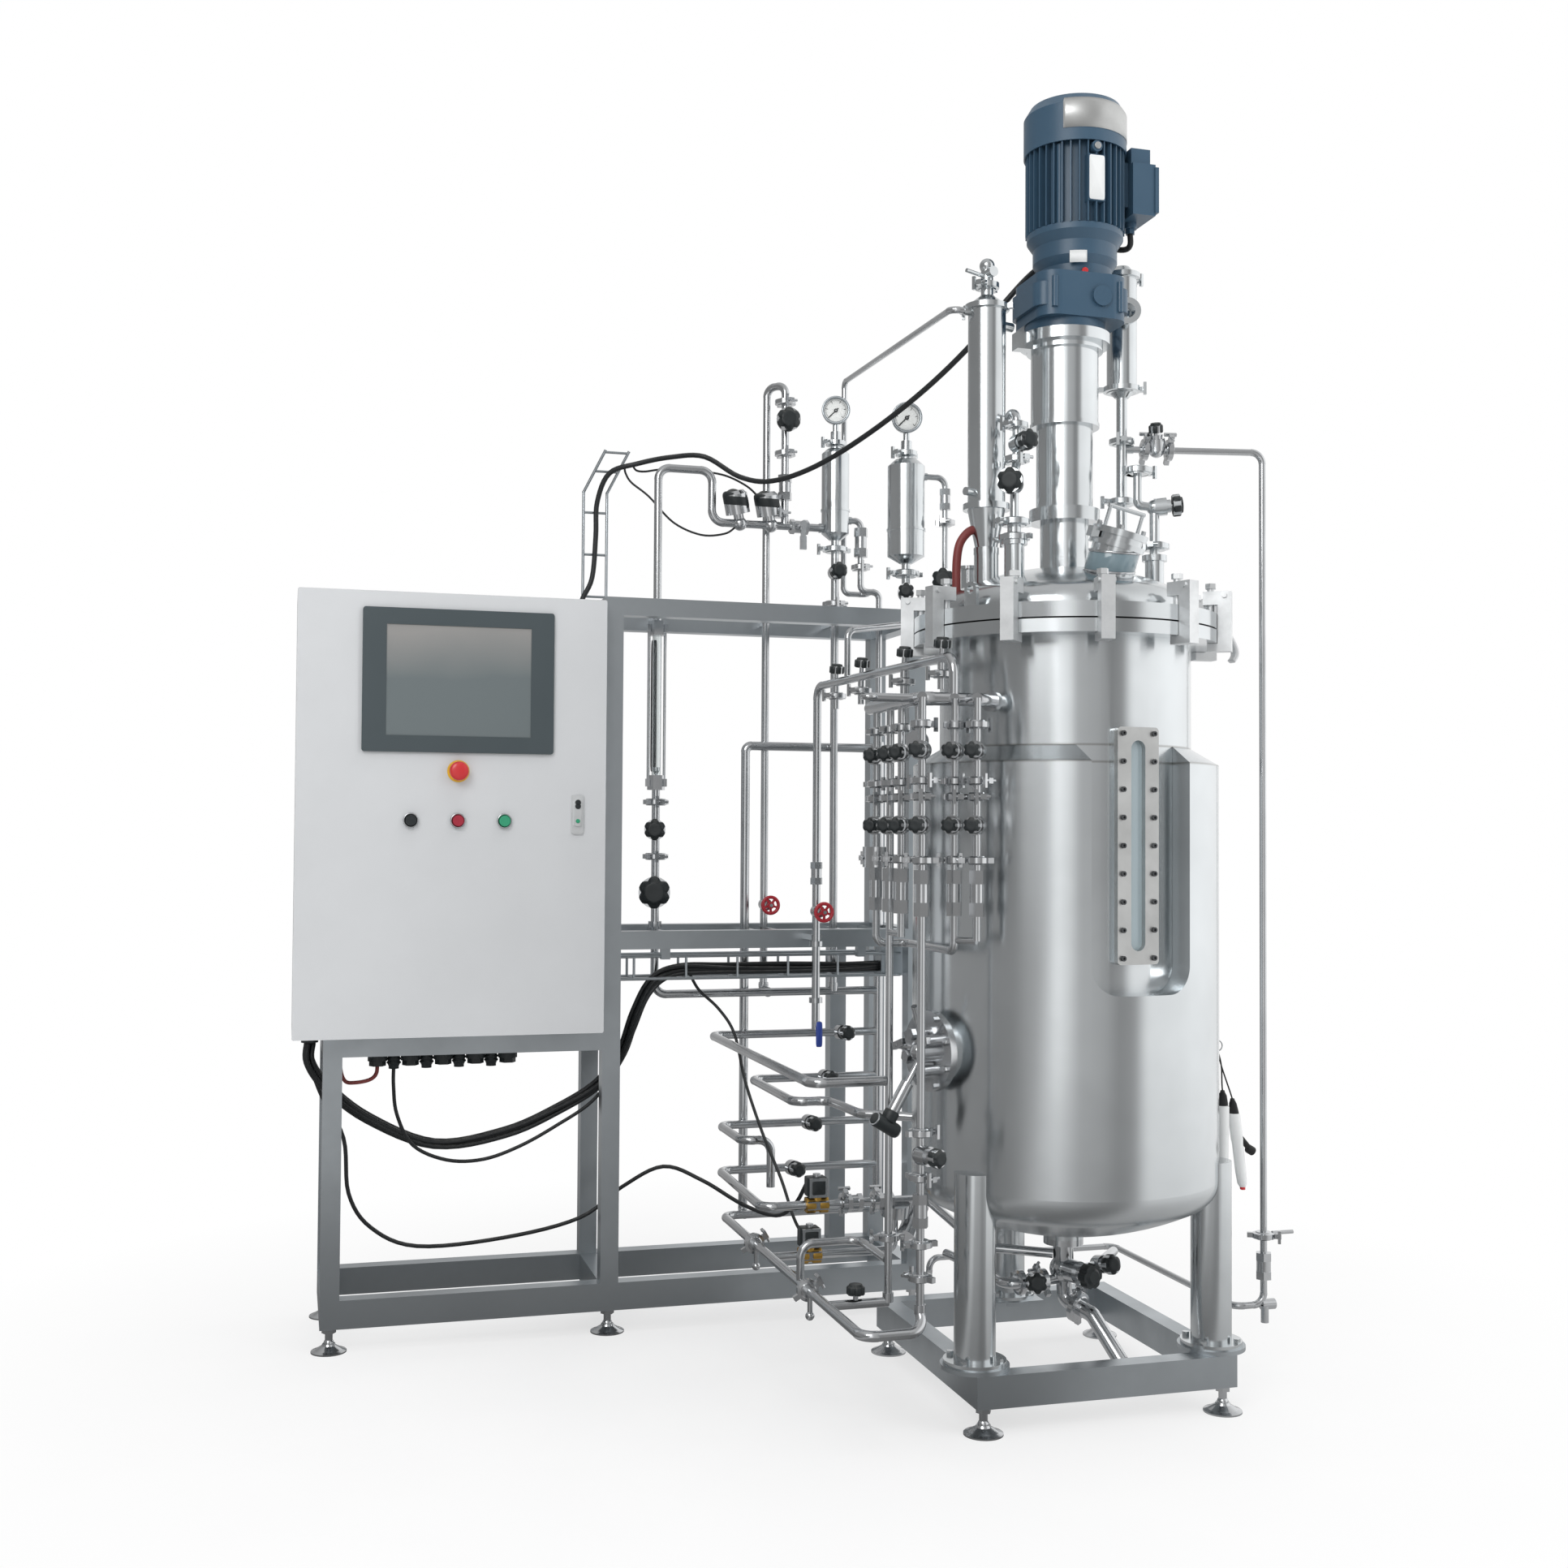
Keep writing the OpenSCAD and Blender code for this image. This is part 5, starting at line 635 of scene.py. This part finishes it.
# Each tick is a low box that points at the centre, from a share of the radius to the tip
def tickForm(centre, face, radius):
    across, upward, face = axesFor(face)
    number = np.arange(ticks["count"] + 1)
    turn = np.radians(ticks["from"] - ticks["arc"] * number / ticks["count"])[:, None]
    isLong = (number % ticks["every"] == 0)[:, None]
    out = np.cos(turn) * across + np.sin(turn) * upward
    beside = -np.sin(turn) * across + np.cos(turn) * upward
    tip, root = radius * ticks["tip"], radius * np.where(isLong, ticks["longRoot"], ticks["shortRoot"])
    wide = beside * np.where(isLong, ticks["longHalf"], ticks["shortHalf"])
    corners = [out * tip + wide, out * tip - wide, out * root - wide, out * root + wide]
    points = np.stack(corners, 1).reshape(-1, 3) + centre
    n = len(points)
    base = np.arange(0, n, 4)[:, None]
    flat = [base + [3, 2, 1, 0], base + n + [0, 1, 2, 3]]
    walls = [base + [k, (k + 1) % 4, (k + 1) % 4 + n, k + n] for k in range(4)]
    return np.concatenate([points, points + face * ticks["lift"]]), np.concatenate(flat + walls)


def makeGauges():
    face, centres = unit(gauges["face"]), [at(*c) for c in gauges["centres"]]
    radius, top = gauges["dial"][0], gauges["dial"][2]
    addPiece("gauge-dials", [drumForm(c, face, *gauges["dial"]) for c in centres], "dialWhite")
    marks = [tickForm(c + face * top / 1000, face, radius / 1000) for c in centres]
    addPiece("gauge-ticks", marks, "blackPlastic", smooth=False)
    addPiece("gauge-rims", [ringForm(c, face, *gauges["rim"]) for c in centres], "satinSteel")


makeGauges()


# Controls on the cabinet's door. Profiles are (radius, height) from the door's face
controls = {"front": -61, "out": (0, -1, 0), "stop": (269, 1227), "buttons": (171, 269, 367), "buttonZ": 1122,
            "stopCollar": (16.5, 23.5, 0.1, 4.5, 1.4, 64), "buttonCollar": (12.2, 16.2, 0.1, 9.0, 1.4, 48),
            "stem": [(0, -16), (11, -16), (11, 14), (15.8, 14.4), (15.8, 17.5)],
            "cap": [(16.4, 18.4), (19.4, 19.6), (20.2, 21.6), (19.6, 25.0)],
            "dome": {"radius": 19.2, "base": 25.6, "rise": 5.4, "sweep": 0.98, "top": 31},
            "latch": (524, -71.3, 1137), "latchButton": (6.2, -1, 2.4, 1.2, 32), "buttonsUp": (0.018, 0.026),
            "latchDot": (4.6, -1, 2.0, 1.0, 32), "dotUp": -0.014}


def makeControls():
    out, dome = controls["out"], controls["dome"]
    stop = at(controls["stop"][0], controls["front"], controls["stop"][1])
    places = [at(x, controls["front"], controls["buttonZ"]) for x in controls["buttons"]]
    addPiece("stop-collar", ringForm(stop, out, *controls["stopCollar"]), "yellowPlastic", body="door")
    a = np.linspace(0, np.pi / 2, 8)[:-1]
    crown = np.stack([dome["radius"] * np.cos(a * dome["sweep"]), dome["base"] + dome["rise"] * np.sin(a)], 1)
    profile = np.concatenate([controls["stem"], controls["cap"], crown, [(0, dome["top"])]]) / 1000
    addPiece("stop-mushroom", turned(profile, stop, out, 64), "redPlastic", body="stop_button",
             replaces=("emergency_stop",))
    latch = at(*controls["latch"])
    pair = [drumForm(latch + [0, 0, h], out, *controls["latchButton"]) for h in controls["buttonsUp"]]
    addPiece("latch-button", pair, "blackPlastic", body="latch")
    dot = drumForm(latch + [0, 0, controls["dotUp"]], out, *controls["latchDot"])
    addPiece("latch-dot", dot, "greenPlastic", body="latch")
    collars = [ringForm(p, out, *controls["buttonCollar"]) for p in places]
    addPiece("button-collars", collars, "brightSteel", body="door")


makeControls()


# The motor's bare plates, its band and bolt, and the gear's red plug. Strips give start and end angle, thickness
# and steps
motor = {"axis": (1432, -620, 0), "band": [(102.8, 2488), (102.8, 2540), (97, 2549.6)],
         "bandStrip": (-128, -12, 0.5, 40), "plate": (1432, -720.1, 2390), "plateSize": (33, 88, 1.0, 14),
         "gearPlate": [(84.4, 2226), (84.4, 2250)], "gearStrip": (-122, -99, 0.6, 10),
         "bolt": (1432, -722.9, 2452), "boltDrum": (7, -2, 3.2, 1.2, 24),
         "plug": (-0.0128, -0.0729, 2.212), "plugFace": (-0.17, -0.98, 0), "plugDrum": (6.5, -2, 4, 1.2, 24)}


def makeMotorTrim():
    axis, front = at(*motor["axis"]), (0, -1, 0)
    addPiece("cowl-band", stripForm(axis, motor["band"], *motor["bandStrip"]), "plateSteel")
    plate = plateForm(at(*motor["plate"]), (1, 0, 0), front, *motor["plateSize"])
    addPiece("motor-plate", plate, "whitePlastic")
    addPiece("gear-plate", stripForm(axis, motor["gearPlate"], *motor["gearStrip"]), "whitePlastic")
    addPiece("motor-bolt", drumForm(at(*motor["bolt"]), front, *motor["boltDrum"]), "plateSteel")
    plug = drumForm(axis + np.array(motor["plug"]), motor["plugFace"], *motor["plugDrum"])
    addPiece("gear-plug", plug, "redPlastic")


makeMotorTrim()


# Caps, coils and brass bodies of the automatic valves
actuators = {"places": [(940, 160.5, 1830), (1016, 160.5, 1830)], "face": (-0.25, -0.2, 1),
             "cap": (30.2, 33, 76, 13, 48, 7), "solenoids": [(1012, -250, 312), (997, -250, 207)],
             "coilAt": (18.6, 38), "coilSize": (43, 42, 37.2, 12), "nut": (18.2, 4, 24.5, 2.5, 6),
             "neck": (12.8, -12, 18.5, 1.5, 24)}


def makeActuators():
    caps = [drumForm(at(*p), actuators["face"], *actuators["cap"]) for p in actuators["places"]]
    addPiece("actuator-caps", caps, "blackPlastic")
    coils, bodies, (back, above) = [], [], actuators["coilAt"]
    for x, y, z in actuators["solenoids"]:
        coils.append(plateForm(at(x, y + back, z + above), (1, 0, 0), (0, -1, 0), *actuators["coilSize"]))
        bodies += [drumForm(at(x, y, z), (side, 0, 0), *actuators["nut"]) for side in (-1, 1)]
        bodies.append(drumForm(at(x, y, z), (0, 0, 1), *actuators["neck"]))
    addPiece("solenoid-coils", coils, "blackPlastic")
    addPiece("solenoid-bodies", bodies, "brass")


makeActuators()


# Sampling valve's black handle on the side port. The port looks out of the vessel at its turn; start and aim are
# given sideways, up and outwards from it
port = {"centre": (1410, -620, 690), "turn": -75, "face": 318, "start": (0, -6, 26), "aim": (-0.1, -0.95, 0.55),
        "reach": 0.148, "bar": (14, -31, 31, 6, 32), "hub": (14.8, 118, 140, 4, 32)}


def makePortHandle():
    turn, aim = math.radians(port["turn"]), port["aim"]
    side, out = np.array([math.cos(turn), math.sin(turn), 0]), np.array([math.sin(turn), -math.cos(turn), 0])

    def carry(v):
        return side * v[0] + np.array([0, 0, v[1]]) + out * v[2]

    start = at(*port["centre"]) + out * port["face"] / 1000 + carry(np.array(port["start"]) / 1000)
    face = unit(carry(aim))
    lean, swing = math.acos(unit(aim)[2]), math.atan2(aim[1], aim[0])
    level = math.cos(lean)
    bar = unit(carry((level * math.cos(swing), level * math.sin(swing), -math.sin(lean))))
    handle = [drumForm(start + face * port["reach"], bar, *port["bar"]), drumForm(start, face, *port["hub"])]
    addPiece("port-handle", handle, "blackPlastic")


makePortHandle()


# Bent strap: an oblong outline carried along the path with its broad side level, sizes in millimetres
def strapForm(path, width, thick, level=(0, 1, 0), sides=16):
    path, level = np.asarray(path, float), unit(level)
    lift = pathAxes(path, level)[0]
    a, b = oblong(6, sides)
    broad, tall = (a * width / 2000)[:, None] * level, (b * thick / 2000)[:, None] * lift[:, None]
    return closedTube(path, path[:, None] + broad + tall)


# The lid's swung-out stop on the right, and the glass neck of the sight port between two rings
lidTrim = {"stop": [(1700, -622, 1566), (1716, -622, 1579), (1734, -622, 1582), (1750, -622, 1578),
                    (1757, -622, 1562), (1762, -622, 1540), (1776, -622, 1512), (1790, -622, 1486),
                    (1792, -622, 1470), (1784, -622, 1458)], "steps": 4, "width": 22, "thick": 9,
           "neck": (1423.9, -779.4, 1591), "lean": (0.205, -0.225, 0.952), "glass": (45.9, 48.6, 17, 51, 0.6, 64),
           "rings": [(45.9, 50.4, low, low + 5, 1.2, 64) for low in (12, 51)]}


def makeLidTrim():
    route = smoothRoute([at(*p) for p in lidTrim["stop"]], lidTrim["steps"])
    addPiece("lid-stop", strapForm(route, lidTrim["width"], lidTrim["thick"]), "castSteel")
    neck, lean = at(*lidTrim["neck"]), lidTrim["lean"]
    addPiece("neck-glass", ringForm(neck, lean, *lidTrim["glass"]), "neckGlass")
    addPiece("neck-rings", [ringForm(neck, lean, *ring) for ring in lidTrim["rings"]], "brightSteel")


makeLidTrim()


# Two probe sleeves that hang from a ring on the jacket's right side. Bows are the cords' sideways bends in metres
sleeves = {"pair": [{"top": (1723, -690, 562), "foot": (1722, -690, 404), "radius": 13.5, "bow": 0.004},
                    {"top": (1750, -688, 545), "foot": (1769, -688, 397), "radius": 12, "bow": -0.006}],
           "ring": (1712, -690, 681), "ringRadius": 0.0105, "wire": 0.0014, "cord": 0.0016, "bowBack": -0.006,
           "stud": (1701.3, -687.5, 690), "outward": (0.974, -0.226, 0), "studDrum": (3.2, -1.5, 13, 1, 16),
           "arm": (1761, -688, 500), "armRadius": 0.006, "clip": (1788, -686, 470), "clipFace": (1, 0, -0.6),
           "clipDrum": (9, -9, 9, 4, 24), "tipFace": (0.12, 0, -0.99), "tipDrum": (5.5, -3, 5, 2, 20)}


# Sleeve and cap are turned from profiles (radius, distance below the top), the sleeve narrowing towards its foot.
# Each cord is a straight line plus a bow times sin(pi t)(1 - t)
def makeSleeves():
    white, black, bright = [], [], []
    ring, around = at(*sleeves["ring"]), (0.1, 1, 0)
    for facts in sleeves["pair"]:
        top, foot, r = at(*facts["top"]), at(*facts["foot"]), facts["radius"]
        down, tall = unit(foot - top), float(np.linalg.norm(foot - top)) * 1000
        body = np.array([(0, 0), (r * 0.86, 0), (r, 3), (r, tall * 0.35), (r * 0.92, tall * 0.4),
                         (r * 0.9, tall * 0.8), (r * 0.78, tall - 8), (r * 0.5, tall - 1), (0, tall)]) / 1000
        white.append(turned(body, top, down, 32))
        cap = np.array([(0, -30), (4, -30), (5, -26), (r * 0.62, -20), (r * 0.8, -4), (r * 0.8, 2), (0, 2)]) / 1000
        black.append(turned(cap, top, down, 24))
        start, end = ring - [0, 0, 0.010], top - down * 0.029
        t = np.linspace(0, 1, 16)[:, None]
        bow = np.array([facts["bow"], sleeves["bowBack"], 0])
        line = start + (end - start) * t + bow * np.sin(np.pi * t) * (1 - t)
        black.append(swept(line, sleeves["cord"], 8, around))
    clip = at(*sleeves["clip"])
    black.append(swept(np.linspace(at(*sleeves["arm"]), clip, 8), sleeves["armRadius"], 12, around))
    black.append(drumForm(clip, sleeves["clipFace"], *sleeves["clipDrum"]))
    turn = np.linspace(0, 2 * np.pi, 37)[:, None]
    loop = ring + sleeves["ringRadius"] * (np.cos(turn) * [1, 0, 0] + np.sin(turn) * [0, 0, 1])
    bright.append(swept(loop, sleeves["wire"], 8, (0, 1, 0)))
    bright.append(drumForm(at(*sleeves["stud"]), sleeves["outward"], *sleeves["studDrum"]))
    addPiece("probe-sleeves", white, "whitePlastic")
    addPiece("probe-caps", black, "blackRubber")
    addPiece("probe-ring", bright, "brightSteel")
    tip = drumForm(at(*sleeves["pair"][1]["foot"]), sleeves["tipFace"], *sleeves["tipDrum"])
    addPiece("probe-tip", tip, "redPlastic")


makeSleeves()

glands = {"along": (151, 221, 291, 361), "y": 84, "z": 612, "outer": 15.5, "groove": 13.2, "ribs": 5, "pitch": 4.2,
          "ribEnds": (0.2, 1.9), "tail": [(11, 24), (11, 29), (0, 29)]}


# Ribbed gland: the profile's radius steps in and out as it goes down from the plate
def makeGlandRow():
    outer, groove, count = glands["outer"], glands["groove"], glands["ribs"]
    levels = np.repeat(np.arange(count), 2) * glands["pitch"] + np.tile(glands["ribEnds"], count)
    radii = np.resize([outer, groove, groove, outer], 2 * count)
    profile = np.concatenate([[(0, -2), (outer, -2)], np.stack([radii, levels], 1), glands["tail"]]) / 1000
    row = [turned(profile, at(x, glands["y"], glands["z"]), (0, 0, -1), 24) for x in glands["along"]]
    addPiece("gland-row", row, "blackPlastic")


makeGlandRow()


# Red hose on the lid, copper tube under the cabinet, blue lever on its hub, and the backing of the flow scale
small = {"hose": [(1172, -640, 1546), (1171, -640, 1590), (1172, -640, 1636), (1178, -641, 1668),
                  (1194, -643, 1690), (1212, -644, 1698)], "hoseRadius": 0.0085, "steps": 8,
         "tube": [(116, 84, 596), (114, 80, 574), (100, 72, 562), (70, 62, 558), (48, 62, 562), (38, 64, 590),
                  (37, 64, 640)], "tubeRadius": 0.0042,
         "lever": (1062, -101, 654), "leverSize": (15, 58, 5, 6), "leverFace": (-0.3, -1, 0),
         "hub": (1066, -81.6, 674), "hubDrum": (8, 2, 21, 2, 24), "scaleShift": (-0.004, 0.0135, 0),
         "scaleSize": (15, 1.2, 10), "scaleEnds": 8}


def makeSmallParts():
    hose, tube = (smoothRoute([at(*p) for p in small[k]], small["steps"]) for k in ("hose", "tube"))
    addPiece("lid-hose", swept(hose, small["hoseRadius"], 16, (0.1, 1, 0)), "tubeRed")
    addPiece("copper-tube", swept(tube, small["tubeRadius"], 12, (0.2, 1, 0.1)), "tubeRed")
    level, face = (1, 0, 0), small["leverFace"]
    addPiece("blue-lever", plateForm(at(*small["lever"]), level, face, *small["leverSize"]), "bluePlastic")
    addPiece("blue-lever-hub", drumForm(at(*small["hub"]), face, *small["hubDrum"]), "brightSteel")
    low, high = (np.array(c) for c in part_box("rotameter_tube"))
    middle = (low + high) / 2 + np.array(small["scaleShift"])
    tall = float(high[2] - low[2]) * 1000 - small["scaleEnds"]
    width, thick, power = small["scaleSize"]
    addPiece("scale-back", plateForm(middle, level, slantFace, width, tall, thick, power), "boltSteel")


makeSmallParts()
print("details made")

# Soft room: upright bands, dark to the left and bright to the right of the vessel, as light and open parts of a
# workshop. Each pair is a share of the full turn and a strength
roomBands = [(0.0, 0.30), (0.09, 0.26), (0.145, 0.30), (0.172, 1.30), (0.192, 1.15), (0.215, 0.58), (0.265, 0.52),
             (0.30, 0.30), (0.325, 0.34), (0.362, 1.15), (0.5, 1.30), (0.667, 0.95), (0.75, 0.45), (0.84, 0.30),
             (1.0, 0.30)]


# Strength of the band that a direction points at
def roomLevel(s, direction):
    split = s.split(direction)
    turn = s.math("ADD", s.math("DIVIDE", s.math("ARCTAN2", split["Y"], split["X"]), math.tau), 0.5)
    ramp = s.add("ValToRGB", {"Fac": turn})
    ramp.color_ramp.interpolation = "EASE"
    stops = ramp.color_ramp.elements
    for spot, level in roomBands[1:-1]:
        stops.new(spot).color = (level, level, level, 1)
    for end in (0, -1):
        stops[end].color = (roomBands[end][1],) * 3 + (1,)
    return s.add("RGBToBW", {"Color": ramp.outputs[0]}).outputs[0]


# The direct ramp and the one for reflections run from a near to a far distance in metres, each with its level
# there. The camera sees plain white past the far one, and metal and glass see the room's bands on the floor, made
# dimmer near the object: painted shade that shows only in their reflections
floorLook = {"side": (-14, 14), "depth": (-10, 16), "tones": ((0.90, 0.90, 0.905, 1), (0.94, 0.94, 0.94, 1)),
             "direct": (0.5, 2.0, 0.62, 1.0), "shadedReflection": (0.9, 3.4, 0.38, 1.0), "bandShare": 0.8, "least": 0.1,
             "mirrored": 0.92}


def makeStage():
    (left, right), (near, back) = floorLook["side"], floorLook["depth"]
    corners = [(left, near, 0), (right, near, 0), (right, back, 0), (left, back, 0)]
    floor = meshFrom("floor", corners, [(0, 1, 2, 3)])
    material, s, shader, place = newMaterial("floorPale", {"Roughness": 0.6, "Specular IOR Level": 0.2})
    tree, split = material.node_tree, s.split(place)
    squares = [s.math("MULTIPLY", split[k], split[k]) for k in ("X", "Y")]
    far = s.math("SQRT", s.math("ADD", *squares))
    speck = s.ramp(s.noise(place, 3.0, 3.0), 0.4, 0.7)
    s.feed(shader.inputs["Base Color"], s.blend(speck, *floorLook["tones"]))
    seen = s.add("LightPath").outputs
    eye = seen["Is Camera Ray"]
    straight = s.math("MAXIMUM", eye, s.math("MAXIMUM", seen["Is Glossy Ray"], seen["Is Transmission Ray"]))
    band = s.math("ADD", s.math("MULTIPLY", roomLevel(s, place), floorLook["bandShare"]), floorLook["least"])
    # painted shade: the floor that metal and glass reflect is dimmed near the object, down to 0.38 of its level
    shadedReflection = s.math("MULTIPLY", band, s.ramp(far, *floorLook["shadedReflection"]))
    strength = s.math("ADD", eye, s.math("MULTIPLY", s.math("SUBTRACT", 1.0, eye), shadedReflection))  # 1 for the camera
    white = s.add("Emission", {"Color": (1, 1, 1, 1), "Strength": strength}).outputs[0]
    direct = s.math("MULTIPLY", eye, s.ramp(far, *floorLook["direct"]))
    mirrored = s.math("MULTIPLY", s.math("SUBTRACT", straight, eye, True), floorLook["mirrored"])
    mix = s.add("MixShader", {"Fac": s.math("ADD", direct, mirrored)})
    tree.links.new(shader.outputs[0], mix.inputs[1])
    tree.links.new(white, mix.inputs[2])
    tree.links.new(mix.outputs[0], tree.nodes["Material Output"].inputs["Surface"])
    floor.data.materials.append(material)


ceiling = {"from": 0.45, "to": 0.95, "strength": 0.62}  # the bands give way to an even light overhead


def makeWorld():
    world = bpy.data.worlds.new("room")
    bpy.context.scene.world = world
    world.use_nodes = True
    s = Sheet(world.node_tree)
    direction = s.add("TexCoord").outputs["Generated"]
    over = s.ramp(s.split(direction)["Z"], ceiling["from"], ceiling["to"])
    bands = s.math("MULTIPLY", roomLevel(s, direction), s.math("SUBTRACT", 1.0, over))
    level = s.math("ADD", bands, s.math("MULTIPLY", over, ceiling["strength"]))
    eye = s.add("LightPath").outputs["Is Camera Ray"]
    background = world.node_tree.nodes["Background"]
    background.inputs["Color"].default_value = (1, 1, 1, 1)
    strength = s.math("ADD", eye, s.math("MULTIPLY", s.math("SUBTRACT", 1.0, eye), level))
    s.feed(background.inputs["Strength"], strength)


lamps = {"key": {"place": (-2.6, -3.4, 3.6), "size": 2.2, "power": 70, "shines": True},
         "fill": {"place": (3.2, -3.0, 2.4), "size": 2.6, "power": 35, "shines": False},
         "top": {"place": (0.2, -0.2, 4.4), "size": 3.0, "power": 45, "shines": False}}
lampTarget = (0, 0, 1.2)


def makeLamps():
    for name, facts in lamps.items():
        light = bpy.data.lights.new(name, "AREA")
        light.size, light.energy = facts["size"], facts["power"]
        lamp = bpy.data.objects.new(name, light)
        lamp.visible_glossy = facts["shines"]
        place = np.array(facts["place"])
        lamp.matrix_world = standing(*axesFor(place - np.array(lampTarget)), place)
        bpy.context.scene.collection.objects.link(lamp)


makeStage()
makeWorld()
makeLamps()
print("stage made")
